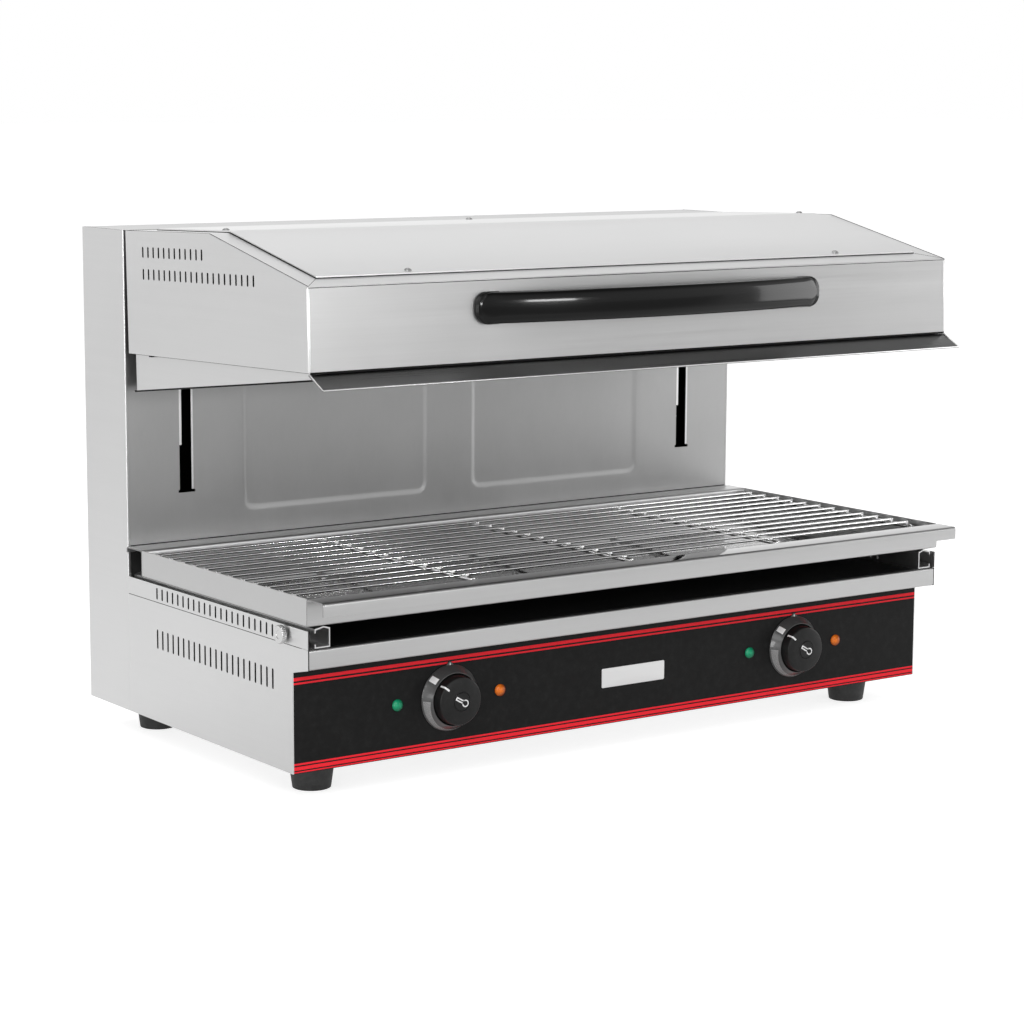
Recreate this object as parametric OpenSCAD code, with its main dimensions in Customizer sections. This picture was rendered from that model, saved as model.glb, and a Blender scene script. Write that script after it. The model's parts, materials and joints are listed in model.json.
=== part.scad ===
// Cheese melter: a table-top grill with a heated head that rides up and down on a rear column,
// above a wire rack in a sliding drip tray. Millimetres, +Z up, +X to the right, the front faces -Y.
// The origin is on the worktop, under the middle of the whole machine.

/* [Overall] */
// Width over the side panels
body_w = 800; // [700:5:1000]
// Depth of the base, from the control panel to the back of the column
base_d = 416; // [390:1:520]
// Depth of the rear column
column_d = 89; // [84:1:140]
// Height of the top of the column above the worktop
column_top = 527; // [500:1:620]
// Thickness of the stainless steel sheet
sheet = 1.2; // [0.8:0.1:2]

/* [Base] */
// Height of the base, without its feet
base_h = 124; // [118:1:150]
// How far the top of the base stands forward of the control panel
lip_out = 28.7; // [20:0.1:45]
// Height of the steel front lip
lip_h = 19.3; // [14:0.1:22]
// How much the underside of the lip drops towards the control panel
lip_drop = 6.6; // [2:0.1:10]
// Thickness of the control panel
panel_t = 1.5; // [1:0.1:3]
// Width of the blank badge plate
badge_w = 81; // [40:1:120]
// Height of the blank badge plate
badge_h = 20; // [12:1:30]
// Distance from the middle of the machine to the middle of the badge plate
badge_x = 5.4; // [-40:0.2:40]
// Thickness of the blank badge plate
badge_t = 0.8; // [0.5:0.1:2]

/* [Ventilation slots] */
// Distance from slot to slot along the sides
vent_pitch = 10.9; // [8:0.1:12]
// Width of a slot
vent_slot_w = 3; // [2:0.1:5]
// Number of slots in each side of the base and in each rail
base_vents = 22; // [8:1:23]
// Height of the slots in the base
base_vent_h = 20; // [10:1:26]
// Height of the slots in the rails
rail_vent_h = 12; // [6:1:13]
// Number of slots in the upper row on the head
head_vents_upper = 12; // [4:1:13]
// Number of slots in the lower row on the head
head_vents_lower = 21; // [8:1:24]
// Height of the slots on the head
head_vent_h = 11; // [6:1:14]
// Number of slots in each group at the back of the column
back_vents = 16; // [4:1:20]
// Height of the slots at the back of the column
back_vent_h = 30; // [15:1:50]

/* [Feet] */
// Height of the rubber feet
foot_h = 30; // [15:1:50]
// Diameter at the top of a foot
foot_top_d = 46; // [30:1:60]
// Diameter at the bottom of a foot
foot_bottom_d = 38; // [26:1:56]
// Distance from a foot's centre to the outside of the base
foot_inset = 52; // [35:1:90]
// Diameter of the screw that holds a foot
foot_screw_d = 5; // [4:0.5:8]

/* [Controls] */
// Distance from the middle of the machine to a dial
dial_x = 222; // [150:1:280]
// Height of the dials above the underside of the base
dial_z = 52; // [45:1:60]
// Outer diameter of the ring around a knob
ring_d = 66; // [60:1:74]
// Height of the ring around a knob
ring_h = 11; // [6:0.5:14]
// Diameter of a knob
knob_d = 50; // [40:1:52]
// Height of a knob's face above the control panel
knob_h = 22; // [18:0.5:34]
// Diameter of the raised cap on a knob
knob_cap_d = 18; // [8:1:24]
// Angle at which the knobs stand in the rest pose, clockwise from straight up
knob_angle = -50; // [-180:1:180]
// Distance from a dial to the lamp on each side of it
lamp_x = 60.5; // [48:0.5:70]
// Diameter of a lamp's lens
lamp_d = 12; // [8:0.5:16]

/* [Rails] */
// Height of the slotted rails on top of the base
rail_h = 18; // [15:0.5:26]
// Width of a rail
rail_w = 24; // [20:1:36]
// Height of the runners that carry the tray
runner_h = 21.6; // [19:0.1:30]
// Diameter of a thumb screw's head
thumb_d = 18; // [12:0.5:18]
// Thickness of a thumb screw's head
thumb_t = 5; // [4:0.5:12]
// Diameter of a thumb screw's shank
thumb_shank_d = 6; // [4:0.5:8]
// Distance from the front end of a rail to its thumb screw
thumb_inset = 43; // [30:1:46]

/* [Drip tray] */
// Height of the tray's walls
tray_h = 27.2; // [20:0.1:40]
// How far the tray stands out past each side panel
tray_proud = 1.4; // [0.5:0.1:4]
// Depth of the flange behind the tray
tray_rear_flange = 31.7; // [20:0.1:45]
// How far the front edge of the tray reaches forward
nosing_out = 28.6; // [15:0.1:40]
// Height of the front edge of the tray
nosing_h = 13; // [8:0.5:20]

/* [Wire rack] */
// Diameter of the long wires
wire_d = 3; // [2:0.5:5]
// Diameter of the cross wires under them
cross_wire_d = 5; // [3:0.5:6]
// Distance from wire to wire
wire_pitch = 24; // [14:0.1:25]
// Number of long wires
wires = 12; // [6:1:12]
// Depth of the long wires' middle below the tray's rim
wire_sunk = 2.7; // [2:0.1:8]
// How far the cross wires reach past the first and the last long wire
cross_past = 12.5; // [6:0.5:16]

/* [Head] */
// Height of the head at the back
head_h = 124; // [115:1:150]
// Height of the head's front face
head_front_h = 79; // [72:1:90]
// Depth of the head from back to front
head_d = 351; // [325:1:360]
// Depth of the level part of the head's top
head_flat = 170; // [140:1:200]
// Angle by which the head stands nose up
head_tilt = 1.6; // [0:0.1:3]
// Gap between the column and the head at the foot of the head's back
head_gap = 10; // [9:0.5:16]
// Width of the steel border around the top cover
border_w = 24; // [16:1:40]
// How far the top cover stands above the border
cover_rise = 2; // [1.5:0.1:4]
// Depth of the heater box below the head, at the back
skirt_rear_drop = 38.6; // [20:0.1:45]
// Depth of the heater box below the head, at the front
skirt_front_drop = 6.6; // [4:0.1:15]
// Gap between the head's side panels and the heater box
skirt_gap = 3.8; // [3:0.1:8]
// How far the front visor reaches forward
visor_out = 23; // [12:0.5:26]
// How far the front visor reaches down
visor_drop = 14.7; // [8:0.1:24]

/* [Handle] */
// Length of the handle
handle_w = 431; // [300:0.5:560]
// Height of the handle's grip
handle_h = 31.5; // [24:0.5:38]
// How far the handle bows out from the head
handle_out = 36; // [30:0.5:60]
// Thickness of the grip at its middle
handle_t = 13; // [9:0.5:17]
// Height of the handle's middle above the bottom of the front face
handle_z = 51.5; // [44:0.5:54]

/* [Heating] */
// Diameter of the tubular heating elements
element_d = 8; // [6:0.5:9]
// Depth of the elements below the reflector
element_drop = 26; // [18:1:32]
// Radius of an element's return bend
element_bend = 35; // [20:1:38]
// Thickness of the insulation above the reflector
insulation_t = 20; // [10:1:24]

/* [Lift] */
// Distance from the middle of the machine to a lift slot
slot_x = 330; // [280:1:350]
// Width of a lift slot
slot_w = 16.4; // [14:0.2:20]
// Width of the wide foot of a lift slot
slot_foot_w = 19.6; // [17:0.2:26]
// Height of the wide foot of a lift slot
slot_foot_h = 3; // [2:0.5:14]
// Depth of the sheet folded back along a lift slot
slot_fold = 4.5; // [2:0.5:10]
// Width of the strip along the upper part of a lift slot
slot_strip_w = 2.8; // [1:0.1:4]
// Height of the strip's lower end above the foot of the slot
slot_strip_z = 50; // [20:1:100]
// Gap between the heater box and the tray when the head is right down
low_gap = 41; // [32:1:60]
// Free height under a lift arm when the head is right down
slot_margin = 10.5; // [8:0.5:20]
// Height of a lift arm
arm_h = 85; // [70:1:95]
// Thickness of a lift arm
arm_t = 5; // [3:0.5:6]
// Diameter of a guide rod
rod_d = 16; // [10:1:20]
// Wall of the bush that runs on a guide rod
bush_wall = 3; // [2:0.5:4]
// Distance from the middle of the machine to a gas strut
strut_x = 270; // [200:1:280]
// Outer diameter of a gas strut
strut_d = 22; // [18:1:28]
// Diameter of a gas strut's rod
strut_rod_d = 10; // [6:0.5:12]

/* [Power supply] */
// Diameter of the supply cable that the gland takes
cable_d = 10; // [7:0.5:12]
// How far the cable gland stands out at the back
gland_out = 17; // [12:0.5:30]
// Distance from the side of the machine to the gland
gland_side = 100; // [60:1:200]

/* [Hidden] */
$fn = 64;

// Clearances
running_gap = 0.05;   // radial, between a shaft and the hole it turns or slides in
press_gap = 0.02;     // radial, between pieces that are pressed together
body_gap = 0.3;       // between faces of pieces that move past each other
screw_gap = 0.3;      // radial, around a screw in its hole
seam = 0.4;           // visible joint between neighbouring sheets

// Stations across the machine
half_w = body_w / 2;
half_in = half_w - sheet;
gland_x = half_w - gland_side;

// Stations up the machine
base_top = foot_h + base_h;
lip_z = base_top - lip_h;
panel_top = lip_z - lip_drop;
rail_top = base_top + rail_h;
tray_z = base_top + runner_h + body_gap;
tray_top = tray_z + tray_h;
wire_z = tray_top - wire_sunk;
back_panel_z = tray_top + 0.5;

// The head's own frame: y runs from the back plate forwards (negative), z up from its side's foot
head_z = column_top - head_h * cos(head_tilt);
skirt_low = head_z - skirt_rear_drop;
lift_travel = skirt_low - tray_top - low_gap;

// Stations from back to front, measured from the front of the column before centring
grip_foot = handle_z - handle_h / 2 + 1.5;
column_ahead = -head_gap - (head_d + handle_out) * cos(head_tilt) + grip_foot * sin(head_tilt);
column_behind = column_d + gland_out;
col_y = -(column_ahead + column_behind) / 2;
rear_y = col_y + column_d;
panel_y = rear_y - base_d;
lip_y = panel_y - lip_out;
head_y = col_y - head_gap;
tray_front_y = lip_y - 1;
tray_rear_y = col_y - 0.5 - tray_rear_flange;

// Slope of the head's sloping top, and the height of its surface at a depth y in the head's frame
slope_run = head_d - head_flat;
slope_fall = head_h - head_front_h;
slope_angle = atan(slope_fall / slope_run);
function head_top_at(y) = y >= -head_flat ? head_h : head_h - (-head_flat - y) * slope_fall / slope_run;

// World y of the head-frame plane y = a, at the world height z
function head_plane_y(a, z) =
    head_y + a * cos(head_tilt) + (z - head_z + a * sin(head_tilt)) * tan(head_tilt);

// Lift gear
flange_t = 4;
block_w = 40;
block_d = 40;
arm_z = skirt_low + 20;
slot_z = arm_z - lift_travel - slot_margin;
slot_top = arm_z + arm_h + 12;
rod_y = col_y + column_d / 2;
rod_r = rod_d / 2;
bush_r = rod_r + bush_wall;
clamp_h = 16;
clamp_w = rod_d + 8;
floor_top = foot_h + sheet;
bar_h = 30;
bar_z = arm_z + arm_h / 2 - bar_h / 2;
strut_foot_h = 25;
strut_z = floor_top + strut_foot_h;
strut_top = bar_z - lift_travel - 10;
strut_wall = 2;
gland_h = 12;
piston_h = 8;

// Controls
dial_height = foot_h + dial_z;
knob_r = knob_d / 2;
ring_bore_r = knob_r + 0.8;
spindle_r = 3;
spindle_in = 20;
lamp_hole_r = 5;

// ---------- helpers ----------

// A flat shape drawn in Y and Z, given thickness t along X from x0
module along_x(x0, t) {
    translate([x0, 0, 0]) rotate([90, 0, 90]) linear_extrude(t) children();
}

// A flat shape drawn in X and Z, given thickness t along Y from y0
module along_y(y0, t) {
    translate([0, y0 + t, 0]) rotate([90, 0, 0]) linear_extrude(t) children();
}

// The same shape on both sides of the machine
module both_sides() {
    children();
    mirror([1, 0, 0]) children();
}

// Places what is drawn in the head's own frame
module in_head() {
    translate([0, head_y, head_z]) rotate([-head_tilt, 0, 0]) children();
}

// A box from corner a to corner b
module block(a, b) {
    translate(a) cube(b - a);
}

// An upright slot with round ends, centred
module vent_slot(h) {
    square([vent_slot_w, h - vent_slot_w], center = true);
    for (s = [-1, 1]) translate([0, s * (h - vent_slot_w) / 2]) circle(d = vent_slot_w, $fn = 24);
}

// A row of upright slots, centred on the origin
module vent_row(count, h) {
    for (i = [0:count - 1]) translate([(i - (count - 1) / 2) * vent_pitch, 0]) vent_slot(h);
}

// A rectangle with round corners, centred
module round_rect(w, h, r) {
    square([w - 2 * r, h], center = true);
    square([w, h - 2 * r], center = true);
    for (x = [-1, 1], y = [-1, 1]) translate([x * (w / 2 - r), y * (h / 2 - r)]) circle(r);
}

// A dome head with a short shank, pointing up +Z from its seat
module dome_screw(head_r, head_rise, shank_r, shank_l) {
    ball_r = (head_r * head_r + head_rise * head_rise) / (2 * head_rise);
    intersection() {
        translate([0, 0, head_rise - ball_r]) sphere(ball_r);
        cylinder(r = head_r, h = head_rise);
    }
    translate([0, 0, -shank_l]) cylinder(r = shank_r, h = shank_l + head_rise / 4);
}

// ---------- base ----------

side_vent_y = col_y - 176.5;
base_vent_z = panel_top - base_vent_h / 2 - 2;

module base_side_shape() {
    difference() {
        polygon([[col_y, foot_h], [col_y, base_top], [lip_y, base_top], [lip_y, lip_z],
            [panel_y, panel_top], [panel_y, foot_h]]);
        translate([side_vent_y, base_vent_z]) vent_row(base_vents, base_vent_h);
    }
}

module base_left_side() {
    color("gainsboro") along_x(-half_w, sheet) base_side_shape();
}

module base_right_side() {
    color("gainsboro") along_x(half_in, sheet) base_side_shape();
}

foot_y = [panel_y + foot_inset, rear_y - foot_inset];

module at_feet() {
    for (x = [-1, 1], y = foot_y) translate([x * (half_w - foot_inset), y, 0]) children();
}

module base_floor() {
    color("silver") difference() {
        block([-half_in, panel_y + panel_t, foot_h], [half_in, rear_y - sheet, floor_top]);
        at_feet() translate([0, 0, foot_h - 1]) cylinder(d = foot_screw_d + 2 * screw_gap, h = sheet + 2);
    }
}

// Top of the base, folded down into the front lip and back under it to the control panel
module base_top_plate() {
    color("gainsboro") along_x(-half_in, 2 * half_in) polygon([
        [col_y, base_top], [lip_y, base_top], [lip_y, lip_z], [panel_y + panel_t, panel_top],
        [panel_y + panel_t, panel_top + sheet], [lip_y + sheet, lip_z + sheet],
        [lip_y + sheet, base_top - sheet], [col_y, base_top - sheet]]);
}

module control_panel() {
    color([0.14, 0.14, 0.14]) difference() {
        block([-half_in, panel_y, foot_h], [half_in, panel_y + panel_t, panel_top - sheet / 2]);
        for (x = [-dial_x, dial_x]) translate([x, panel_y - 1, dial_height]) {
            rotate([-90, 0, 0]) cylinder(r = spindle_r + 2.5, h = panel_t + 2);
            for (s = [-lamp_x, lamp_x]) translate([s, 0, 0])
                rotate([-90, 0, 0]) cylinder(r = lamp_hole_r, h = panel_t + 2);
        }
    }
}

module badge_plate() {
    color("whitesmoke") along_y(panel_y - badge_t, badge_t)
        translate([badge_x, dial_height - 4]) round_rect(badge_w, badge_h, 1.5);
}

// Cone-shaped ring round each knob, with a small peak at the top
module dial_ring() {
    edge = 1.5;
    rim = 0.8;
    peak_w = 9;
    peak_h = 3.2;
    rotate_extrude() polygon([[ring_bore_r, 0], [ring_d / 2, 0], [ring_d / 2, edge],
        [ring_bore_r + rim, ring_h], [ring_bore_r, ring_h]]);
    linear_extrude(edge) polygon([[-peak_w / 2, ring_d / 2 - 0.6], [peak_w / 2, ring_d / 2 - 0.6],
        [1, ring_d / 2 + peak_h], [-1, ring_d / 2 + peak_h]]);
}

// A dial's own frame: +Z points out of the control panel, +Y is up
module at_dial(x) {
    translate([x, panel_y, dial_height]) rotate([90, 0, 0]) children();
}

module dial_rings() {
    color([0.2, 0.2, 0.2]) for (x = [-dial_x, dial_x]) at_dial(x) dial_ring();
}

// Thermostat behind each knob: its can, mounting neck, terminals and the hole for the spindle
module thermostat() {
    can_w = 40;
    can_d = 30;
    neck_r = 5;
    difference() {
        union() {
            translate([0, 0, -panel_t - can_d]) cylinder(d = can_w, h = can_d);
            translate([-can_w / 2, -can_w / 2, -panel_t - can_d]) cube([can_w, can_w, can_d * 0.6]);
            translate([0, 0, -panel_t - 1]) cylinder(r = neck_r, h = panel_t + 1.5);
            for (x = [-12, -4, 4, 12]) translate([x - 3, -14, -panel_t - can_d - 8]) cube([6, 0.8, 8.5]);
        }
        translate([0, 0, -panel_t - spindle_in]) cylinder(r = spindle_r + running_gap, h = 60);
    }
}

module thermostats() {
    color("tan") for (x = [-dial_x, dial_x]) at_dial(x) thermostat();
}

// Indicator lamp: domed lens in front of the panel, body and two tags behind it
module lamp() {
    dome = 3.5;
    body_l = 18;
    tag_l = 8;
    ball_r = (lamp_d * lamp_d / 4 + dome * dome) / (2 * dome);
    intersection() {
        translate([0, 0, dome - ball_r]) sphere(ball_r);
        cylinder(d = lamp_d, h = dome);
    }
    translate([0, 0, -panel_t - body_l]) cylinder(r = lamp_hole_r - 0.1, h = panel_t + body_l + 0.5);
    for (x = [-2.5, 2.5]) translate([x - 1.5, -0.4, -panel_t - body_l - tag_l]) cube([3, 0.8, tag_l + 0.5]);
}

module power_lamps() {
    color("seagreen") for (x = [-dial_x, dial_x]) at_dial(x - lamp_x) lamp();
}

module heat_lamps() {
    color("darkorange") for (x = [-dial_x, dial_x]) at_dial(x + lamp_x) lamp();
}

// Porcelain block where the supply cable's cores are clamped
module terminal_block() {
    ways = 5;
    way_w = 12;
    block_len = ways * way_w;
    color("ivory") difference() {
        translate([gland_x - block_len - 90, rear_y - 50, floor_top]) cube([block_len, 24, 18]);
        for (i = [0:ways - 1]) translate([gland_x - block_len - 84 + i * way_w, rear_y - 38, floor_top + 6])
            cylinder(r = 3, h = 20);
    }
}

gland_z = foot_h + 40;
gland_thread_r = cable_d / 2 + 5;

// Cable gland: body, dome nut outside and lock nut inside, with a clear hole for the cable
module cable_gland() {
    nut_r = gland_thread_r + 3;
    inner_l = 10;
    color([0.1, 0.1, 0.1]) translate([gland_x, rear_y, gland_z]) rotate([-90, 0, 0]) difference() {
        union() {
            translate([0, 0, -sheet - inner_l]) cylinder(r = gland_thread_r, h = sheet + inner_l + 2);
            cylinder(r = nut_r, h = 6, $fn = 6);
            translate([0, 0, 6]) cylinder(r = gland_thread_r + 1.5, h = gland_out - 10);
            translate([0, 0, gland_out - 4]) cylinder(r1 = gland_thread_r + 1.5, r2 = cable_d / 2 + 2, h = 4);
            translate([0, 0, -sheet - 5]) cylinder(r = nut_r, h = 5, $fn = 6);
        }
        translate([0, 0, -40]) cylinder(d = cable_d + 1, h = 80);
    }
}

// ---------- feet ----------

recess_r = foot_screw_d + 2.5;
recess_h = foot_h * 0.6;

module rubber_feet() {
    color([0.08, 0.08, 0.08]) at_feet() difference() {
        cylinder(d1 = foot_bottom_d, d2 = foot_top_d, h = foot_h);
        translate([0, 0, -1]) cylinder(r = recess_r, h = recess_h + 1);
        cylinder(d = foot_screw_d + 2 * screw_gap, h = foot_h + 1);
    }
}

module foot_screws() {
    head_h_screw = 3.5;
    nut_h = 4;
    color("silver") at_feet() {
        translate([0, 0, recess_h - head_h_screw]) cylinder(r = foot_screw_d, h = head_h_screw);
        translate([0, 0, recess_h - 1]) cylinder(d = foot_screw_d, h = floor_top + nut_h - recess_h + 3);
        translate([0, 0, floor_top]) cylinder(r = foot_screw_d, h = nut_h, $fn = 6);
    }
}

// ---------- column ----------

module column_side_shape() {
    polygon([[col_y, foot_h], [rear_y, foot_h], [rear_y, column_top], [col_y, column_top]]);
}

module column_left_side() {
    color("gainsboro") along_x(-half_w, sheet) column_side_shape();
}

module column_right_side() {
    color("gainsboro") along_x(half_in, sheet) column_side_shape();
}

// Back of the column, folded forwards over its top, with two groups of slots
module column_back_cover() {
    vent_z = column_top - 70;
    color("silver") difference() {
        along_x(-half_in, 2 * half_in) polygon([[rear_y - sheet, foot_h], [rear_y, foot_h],
            [rear_y, column_top], [col_y, column_top], [col_y, column_top - sheet],
            [rear_y - sheet, column_top - sheet]]);
        along_y(rear_y - sheet - 1, sheet + 2) {
            for (x = [-1, 1], z = [vent_z, foot_h + 130])
                translate([x * (half_w / 2), z]) vent_row(back_vents, back_vent_h);
            translate([gland_x, gland_z]) circle(gland_thread_r + press_gap);
            for (p = casing_screw_places) translate(p) circle(d = 4 + 2 * screw_gap);
        }
    }
}

casing_screw_inset = 12;
casing_screw_places = [for (x = [-1, 0, 1], z = [foot_h + casing_screw_inset, (foot_h + column_top) / 2,
    column_top - casing_screw_inset]) if (x != 0 || z != (foot_h + column_top) / 2)
    [x * (half_in - casing_screw_inset), z]];

module casing_screws() {
    color("silver") for (p = casing_screw_places) translate([p[0], rear_y, p[1]])
        rotate([-90, 0, 0]) dome_screw(4.2, 2.2, 2, 7);
}

// Front of the column: lift slots with a wide foot, and two shallow pressed panels
module back_panel() {
    press_depth = 2.2;
    press_in = 30;
    press_side = 138;
    press_out = half_w - press_side;
    press_z = back_panel_z + 25.5;
    press_top = head_z + head_h - 40;
    press_r = 12;
    press_w = press_out - press_in;
    module pressing(grow) {
        for (s = [-1, 1]) translate([s * (press_in + press_out) / 2, (press_z + press_top) / 2])
            round_rect(press_w + 2 * grow, press_top - press_z + 2 * grow, press_r + grow);
    }
    slot_half = slot_w / 2;
    color("lightgray") difference() {
        union() {
            block([-half_in, col_y, back_panel_z], [half_in, col_y + sheet, column_top - sheet]);
            along_y(col_y + sheet / 2, press_depth + sheet / 2) pressing(sheet);
            for (x = [-slot_x, slot_x])
                block([x - slot_half - sheet, col_y + sheet / 2, slot_z + slot_foot_h],
                    [x + slot_half + sheet, col_y + slot_fold, slot_top]);
        }
        along_y(col_y - 1, press_depth + 1) pressing(0);
        for (x = [-slot_x, slot_x]) {
            block([x - slot_half + slot_strip_w, col_y - 1, slot_z], [x + slot_half, col_y + slot_fold + 1, slot_top]);
            block([x - slot_half, col_y - 1, slot_z], [x + slot_half, col_y + slot_fold + 1, slot_z + slot_strip_z]);
            block([x - slot_half, col_y + sheet, slot_z], [x + slot_half, col_y + slot_fold + 1, slot_top]);
            block([x - slot_foot_w / 2, col_y - 1, slot_z],
                [x + slot_foot_w / 2, col_y + slot_fold + 1, slot_z + slot_foot_h]);
        }
    }
}

// Black channel that joins the column's sides below the back panel, behind the tray
module rear_cross_member() {
    leg = 14;
    color([0.06, 0.06, 0.06]) along_x(-half_in, 2 * half_in) polygon([
        [col_y + sheet, base_top - 12], [col_y + leg, base_top - 12],
        [col_y + leg, base_top - 12 + sheet], [col_y + 2 * sheet, base_top - 12 + sheet],
        [col_y + 2 * sheet, back_panel_z + 6 - sheet], [col_y + leg, back_panel_z + 6 - sheet],
        [col_y + leg, back_panel_z + 6], [col_y + sheet, back_panel_z + 6]]);
}

module guide_rods() {
    color("silver") both_sides() translate([slot_x, rod_y, floor_top])
        cylinder(r = rod_r, h = column_top - sheet - floor_top);
}

module rod_clamps() {
    color("dimgray") both_sides() for (z = [floor_top, column_top - sheet - clamp_h]) difference() {
        translate([slot_x - clamp_w / 2, rod_y - block_d / 2, z]) cube([clamp_w, block_d, clamp_h]);
        translate([slot_x, rod_y, z - 1]) cylinder(r = rod_r + press_gap, h = clamp_h + 2);
    }
}

// Gas strut cylinder with its foot, hollow, with a close gland at the top for the rod
module strut_cylinders() {
    plate = [strut_d + 8, strut_d + 2, 3];
    eye = [8, 16, strut_foot_h + 2];
    color([0.12, 0.12, 0.12]) both_sides() translate([strut_x, rod_y, 0]) difference() {
        union() {
            translate([0, 0, strut_z]) cylinder(d = strut_d, h = strut_top - strut_z);
            translate([-plate[0] / 2, -plate[1] / 2, floor_top]) cube(plate);
            translate([-eye[0] / 2, -eye[1] / 2, floor_top]) cube(eye);
        }
        translate([0, 0, strut_z + 6])
            cylinder(r = strut_d / 2 - strut_wall, h = strut_top - gland_h - strut_z - 6);
        translate([0, 0, strut_z + 6]) cylinder(r = strut_rod_d / 2 + running_gap, h = 600);
    }
}

// ---------- rails ----------

thumb_y = lip_y + thumb_inset;
thumb_z = base_top + rail_h / 2;

// Slotted strip along each side, with a flange that lies on the base
module slotted_rails() {
    color("gainsboro") both_sides() difference() {
        union() {
            along_x(half_in, sheet) polygon([[lip_y, base_top + seam], [col_y, base_top + seam],
                [col_y, rail_top], [lip_y, rail_top]]);
            block([half_w - rail_w, lip_y + 2, base_top], [half_in + sheet / 2, col_y, base_top + sheet]);
        }
        along_x(half_in - 1, sheet + 2) {
            translate([side_vent_y, thumb_z]) vent_row(base_vents, rail_vent_h);
            translate([thumb_y, thumb_z]) circle(d = thumb_shank_d + 2 * running_gap);
        }
    }
}

// Channel with rolled lips that the tray slides on, with a row of slots in its web
module tray_runners() {
    z0 = base_top + sheet;
    z1 = base_top + runner_h;
    x0 = half_w - rail_w;
    lip = 4;
    flange = rail_w - sheet - 6;
    crown = 7;
    color("darkgray") both_sides() difference() {
        translate([0, col_y, 0]) rotate([90, 0, 0]) linear_extrude(col_y - lip_y) polygon([
            [x0, z0], [x0 + flange, z0], [x0 + flange, z0 + lip],
            [x0 + flange - sheet, z0 + lip], [x0 + flange - sheet, z0 + sheet],
            [x0 + sheet, z0 + sheet], [x0 + sheet, z1 - sheet - 2], [x0 + crown, z1 - sheet],
            [x0 + flange - sheet, z1 - 2 * sheet - 1], [x0 + flange - sheet, z1 - lip - 2],
            [x0 + flange, z1 - lip - 2], [x0 + flange, z1 - 2], [x0 + crown, z1], [x0, z1 - 2]]);
        along_x(x0 - 1, sheet + 2) translate([side_vent_y, thumb_z]) vent_row(base_vents, rail_vent_h);
    }
}

// Knurled thumb screw, drawn on the right and turned for the left
module thumb_screw() {
    standoff = 1.6;
    knurls = 20;
    translate([half_w, thumb_y, thumb_z]) rotate([0, 90, 0]) {
        translate([0, 0, -8]) cylinder(d = thumb_shank_d, h = 8 + standoff + 1);
        difference() {
            translate([0, 0, standoff]) cylinder(d = thumb_d, h = thumb_t);
            for (i = [0:knurls - 1]) rotate([0, 0, i * 360 / knurls])
                translate([thumb_d / 2 + 0.3, 0, standoff - 1]) cylinder(r = 0.9, h = thumb_t + 2, $fn = 16);
        }
    }
}

module left_thumb_screw() {
    color("silver") mirror([1, 0, 0]) thumb_screw();
}

module right_thumb_screw() {
    color("silver") thumb_screw();
}

// ---------- drip tray and rack ----------

tray_half = half_w + tray_proud;

module drip_tray() {
    rear_lip = 6;
    color("lightgray") {
        difference() {
            block([-tray_half, tray_front_y, tray_z], [tray_half, tray_rear_y, tray_top]);
            block([-tray_half + sheet, tray_front_y + sheet, tray_z + sheet],
                [tray_half - sheet, tray_rear_y - sheet, tray_top + 1]);
        }
        along_x(-tray_half, 2 * tray_half) {
            polygon([[tray_front_y + sheet, tray_top], [tray_front_y - nosing_out, tray_top],
                [tray_front_y - nosing_out, tray_top - nosing_h],
                [tray_front_y - nosing_out + sheet, tray_top - nosing_h],
                [tray_front_y - nosing_out + sheet, tray_top - sheet],
                [tray_front_y + sheet, tray_top - sheet]]);
            polygon([[tray_rear_y - sheet, tray_top], [tray_rear_y + tray_rear_flange, tray_top],
                [tray_rear_y + tray_rear_flange, tray_top - rear_lip],
                [tray_rear_y + tray_rear_flange - sheet, tray_top - rear_lip],
                [tray_rear_y + tray_rear_flange - sheet, tray_top - sheet],
                [tray_rear_y - sheet, tray_top - sheet]]);
        }
    }
}

rack_y = (tray_front_y + tray_rear_y) / 2 + 8.5;
rack_span = (wires - 1) * wire_pitch;
rack_half = tray_half - sheet - 5.7;
cross_half = rack_half - cross_wire_d / 2;

// Long wires on five cross wires; the outer two are bent down at their ends and stand in the tray
module wire_rack() {
    weld = 0.2;
    cross_l = rack_span + 2 * cross_past;
    cross_z = wire_z - wire_d / 2 - cross_wire_d / 2 + weld;
    leg_y = (cross_l - cross_wire_d) / 2;
    leg_z = tray_z + sheet + body_gap;
    color("silver") {
        for (x = [-cross_half, cross_half], y = [rack_y - leg_y, rack_y + leg_y])
            translate([x, y, leg_z]) cylinder(d = cross_wire_d, h = cross_z - leg_z, $fn = 24);
        for (i = [0:wires - 1]) translate([-rack_half, rack_y - rack_span / 2 + i * wire_pitch, wire_z])
            rotate([0, 90, 0]) cylinder(d = wire_d, h = 2 * rack_half, $fn = 24);
        for (s = [-1, -0.5, 0, 0.5, 1])
            translate([s * cross_half, rack_y + cross_l / 2, cross_z])
                rotate([90, 0, 0]) cylinder(d = cross_wire_d, h = cross_l, $fn = 24);
    }
}

// ---------- head ----------

// Side panel: level at the back, sloping down to the front, with two rows of slots
module head_side_shape() {
    first_vent = 36;
    upper_y = -first_vent - (head_vents_upper - 1) * vent_pitch / 2;
    lower_y = -first_vent - (head_vents_lower - 1) * vent_pitch / 2;
    difference() {
        polygon([[0, 0], [0, head_h], [-head_flat, head_h], [-head_d, head_front_h], [-head_d, 0]]);
        translate([upper_y, head_h - 21]) vent_row(head_vents_upper, head_vent_h);
        translate([lower_y, head_h - 43]) vent_row(head_vents_lower, head_vent_h);
    }
}

module head_left_side() {
    color("gainsboro") in_head() along_x(-half_w, sheet) head_side_shape();
}

module head_right_side() {
    color("gainsboro") in_head() along_x(half_in, sheet) head_side_shape();
}

handle_bolt_x = handle_w / 2 - 12;

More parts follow.
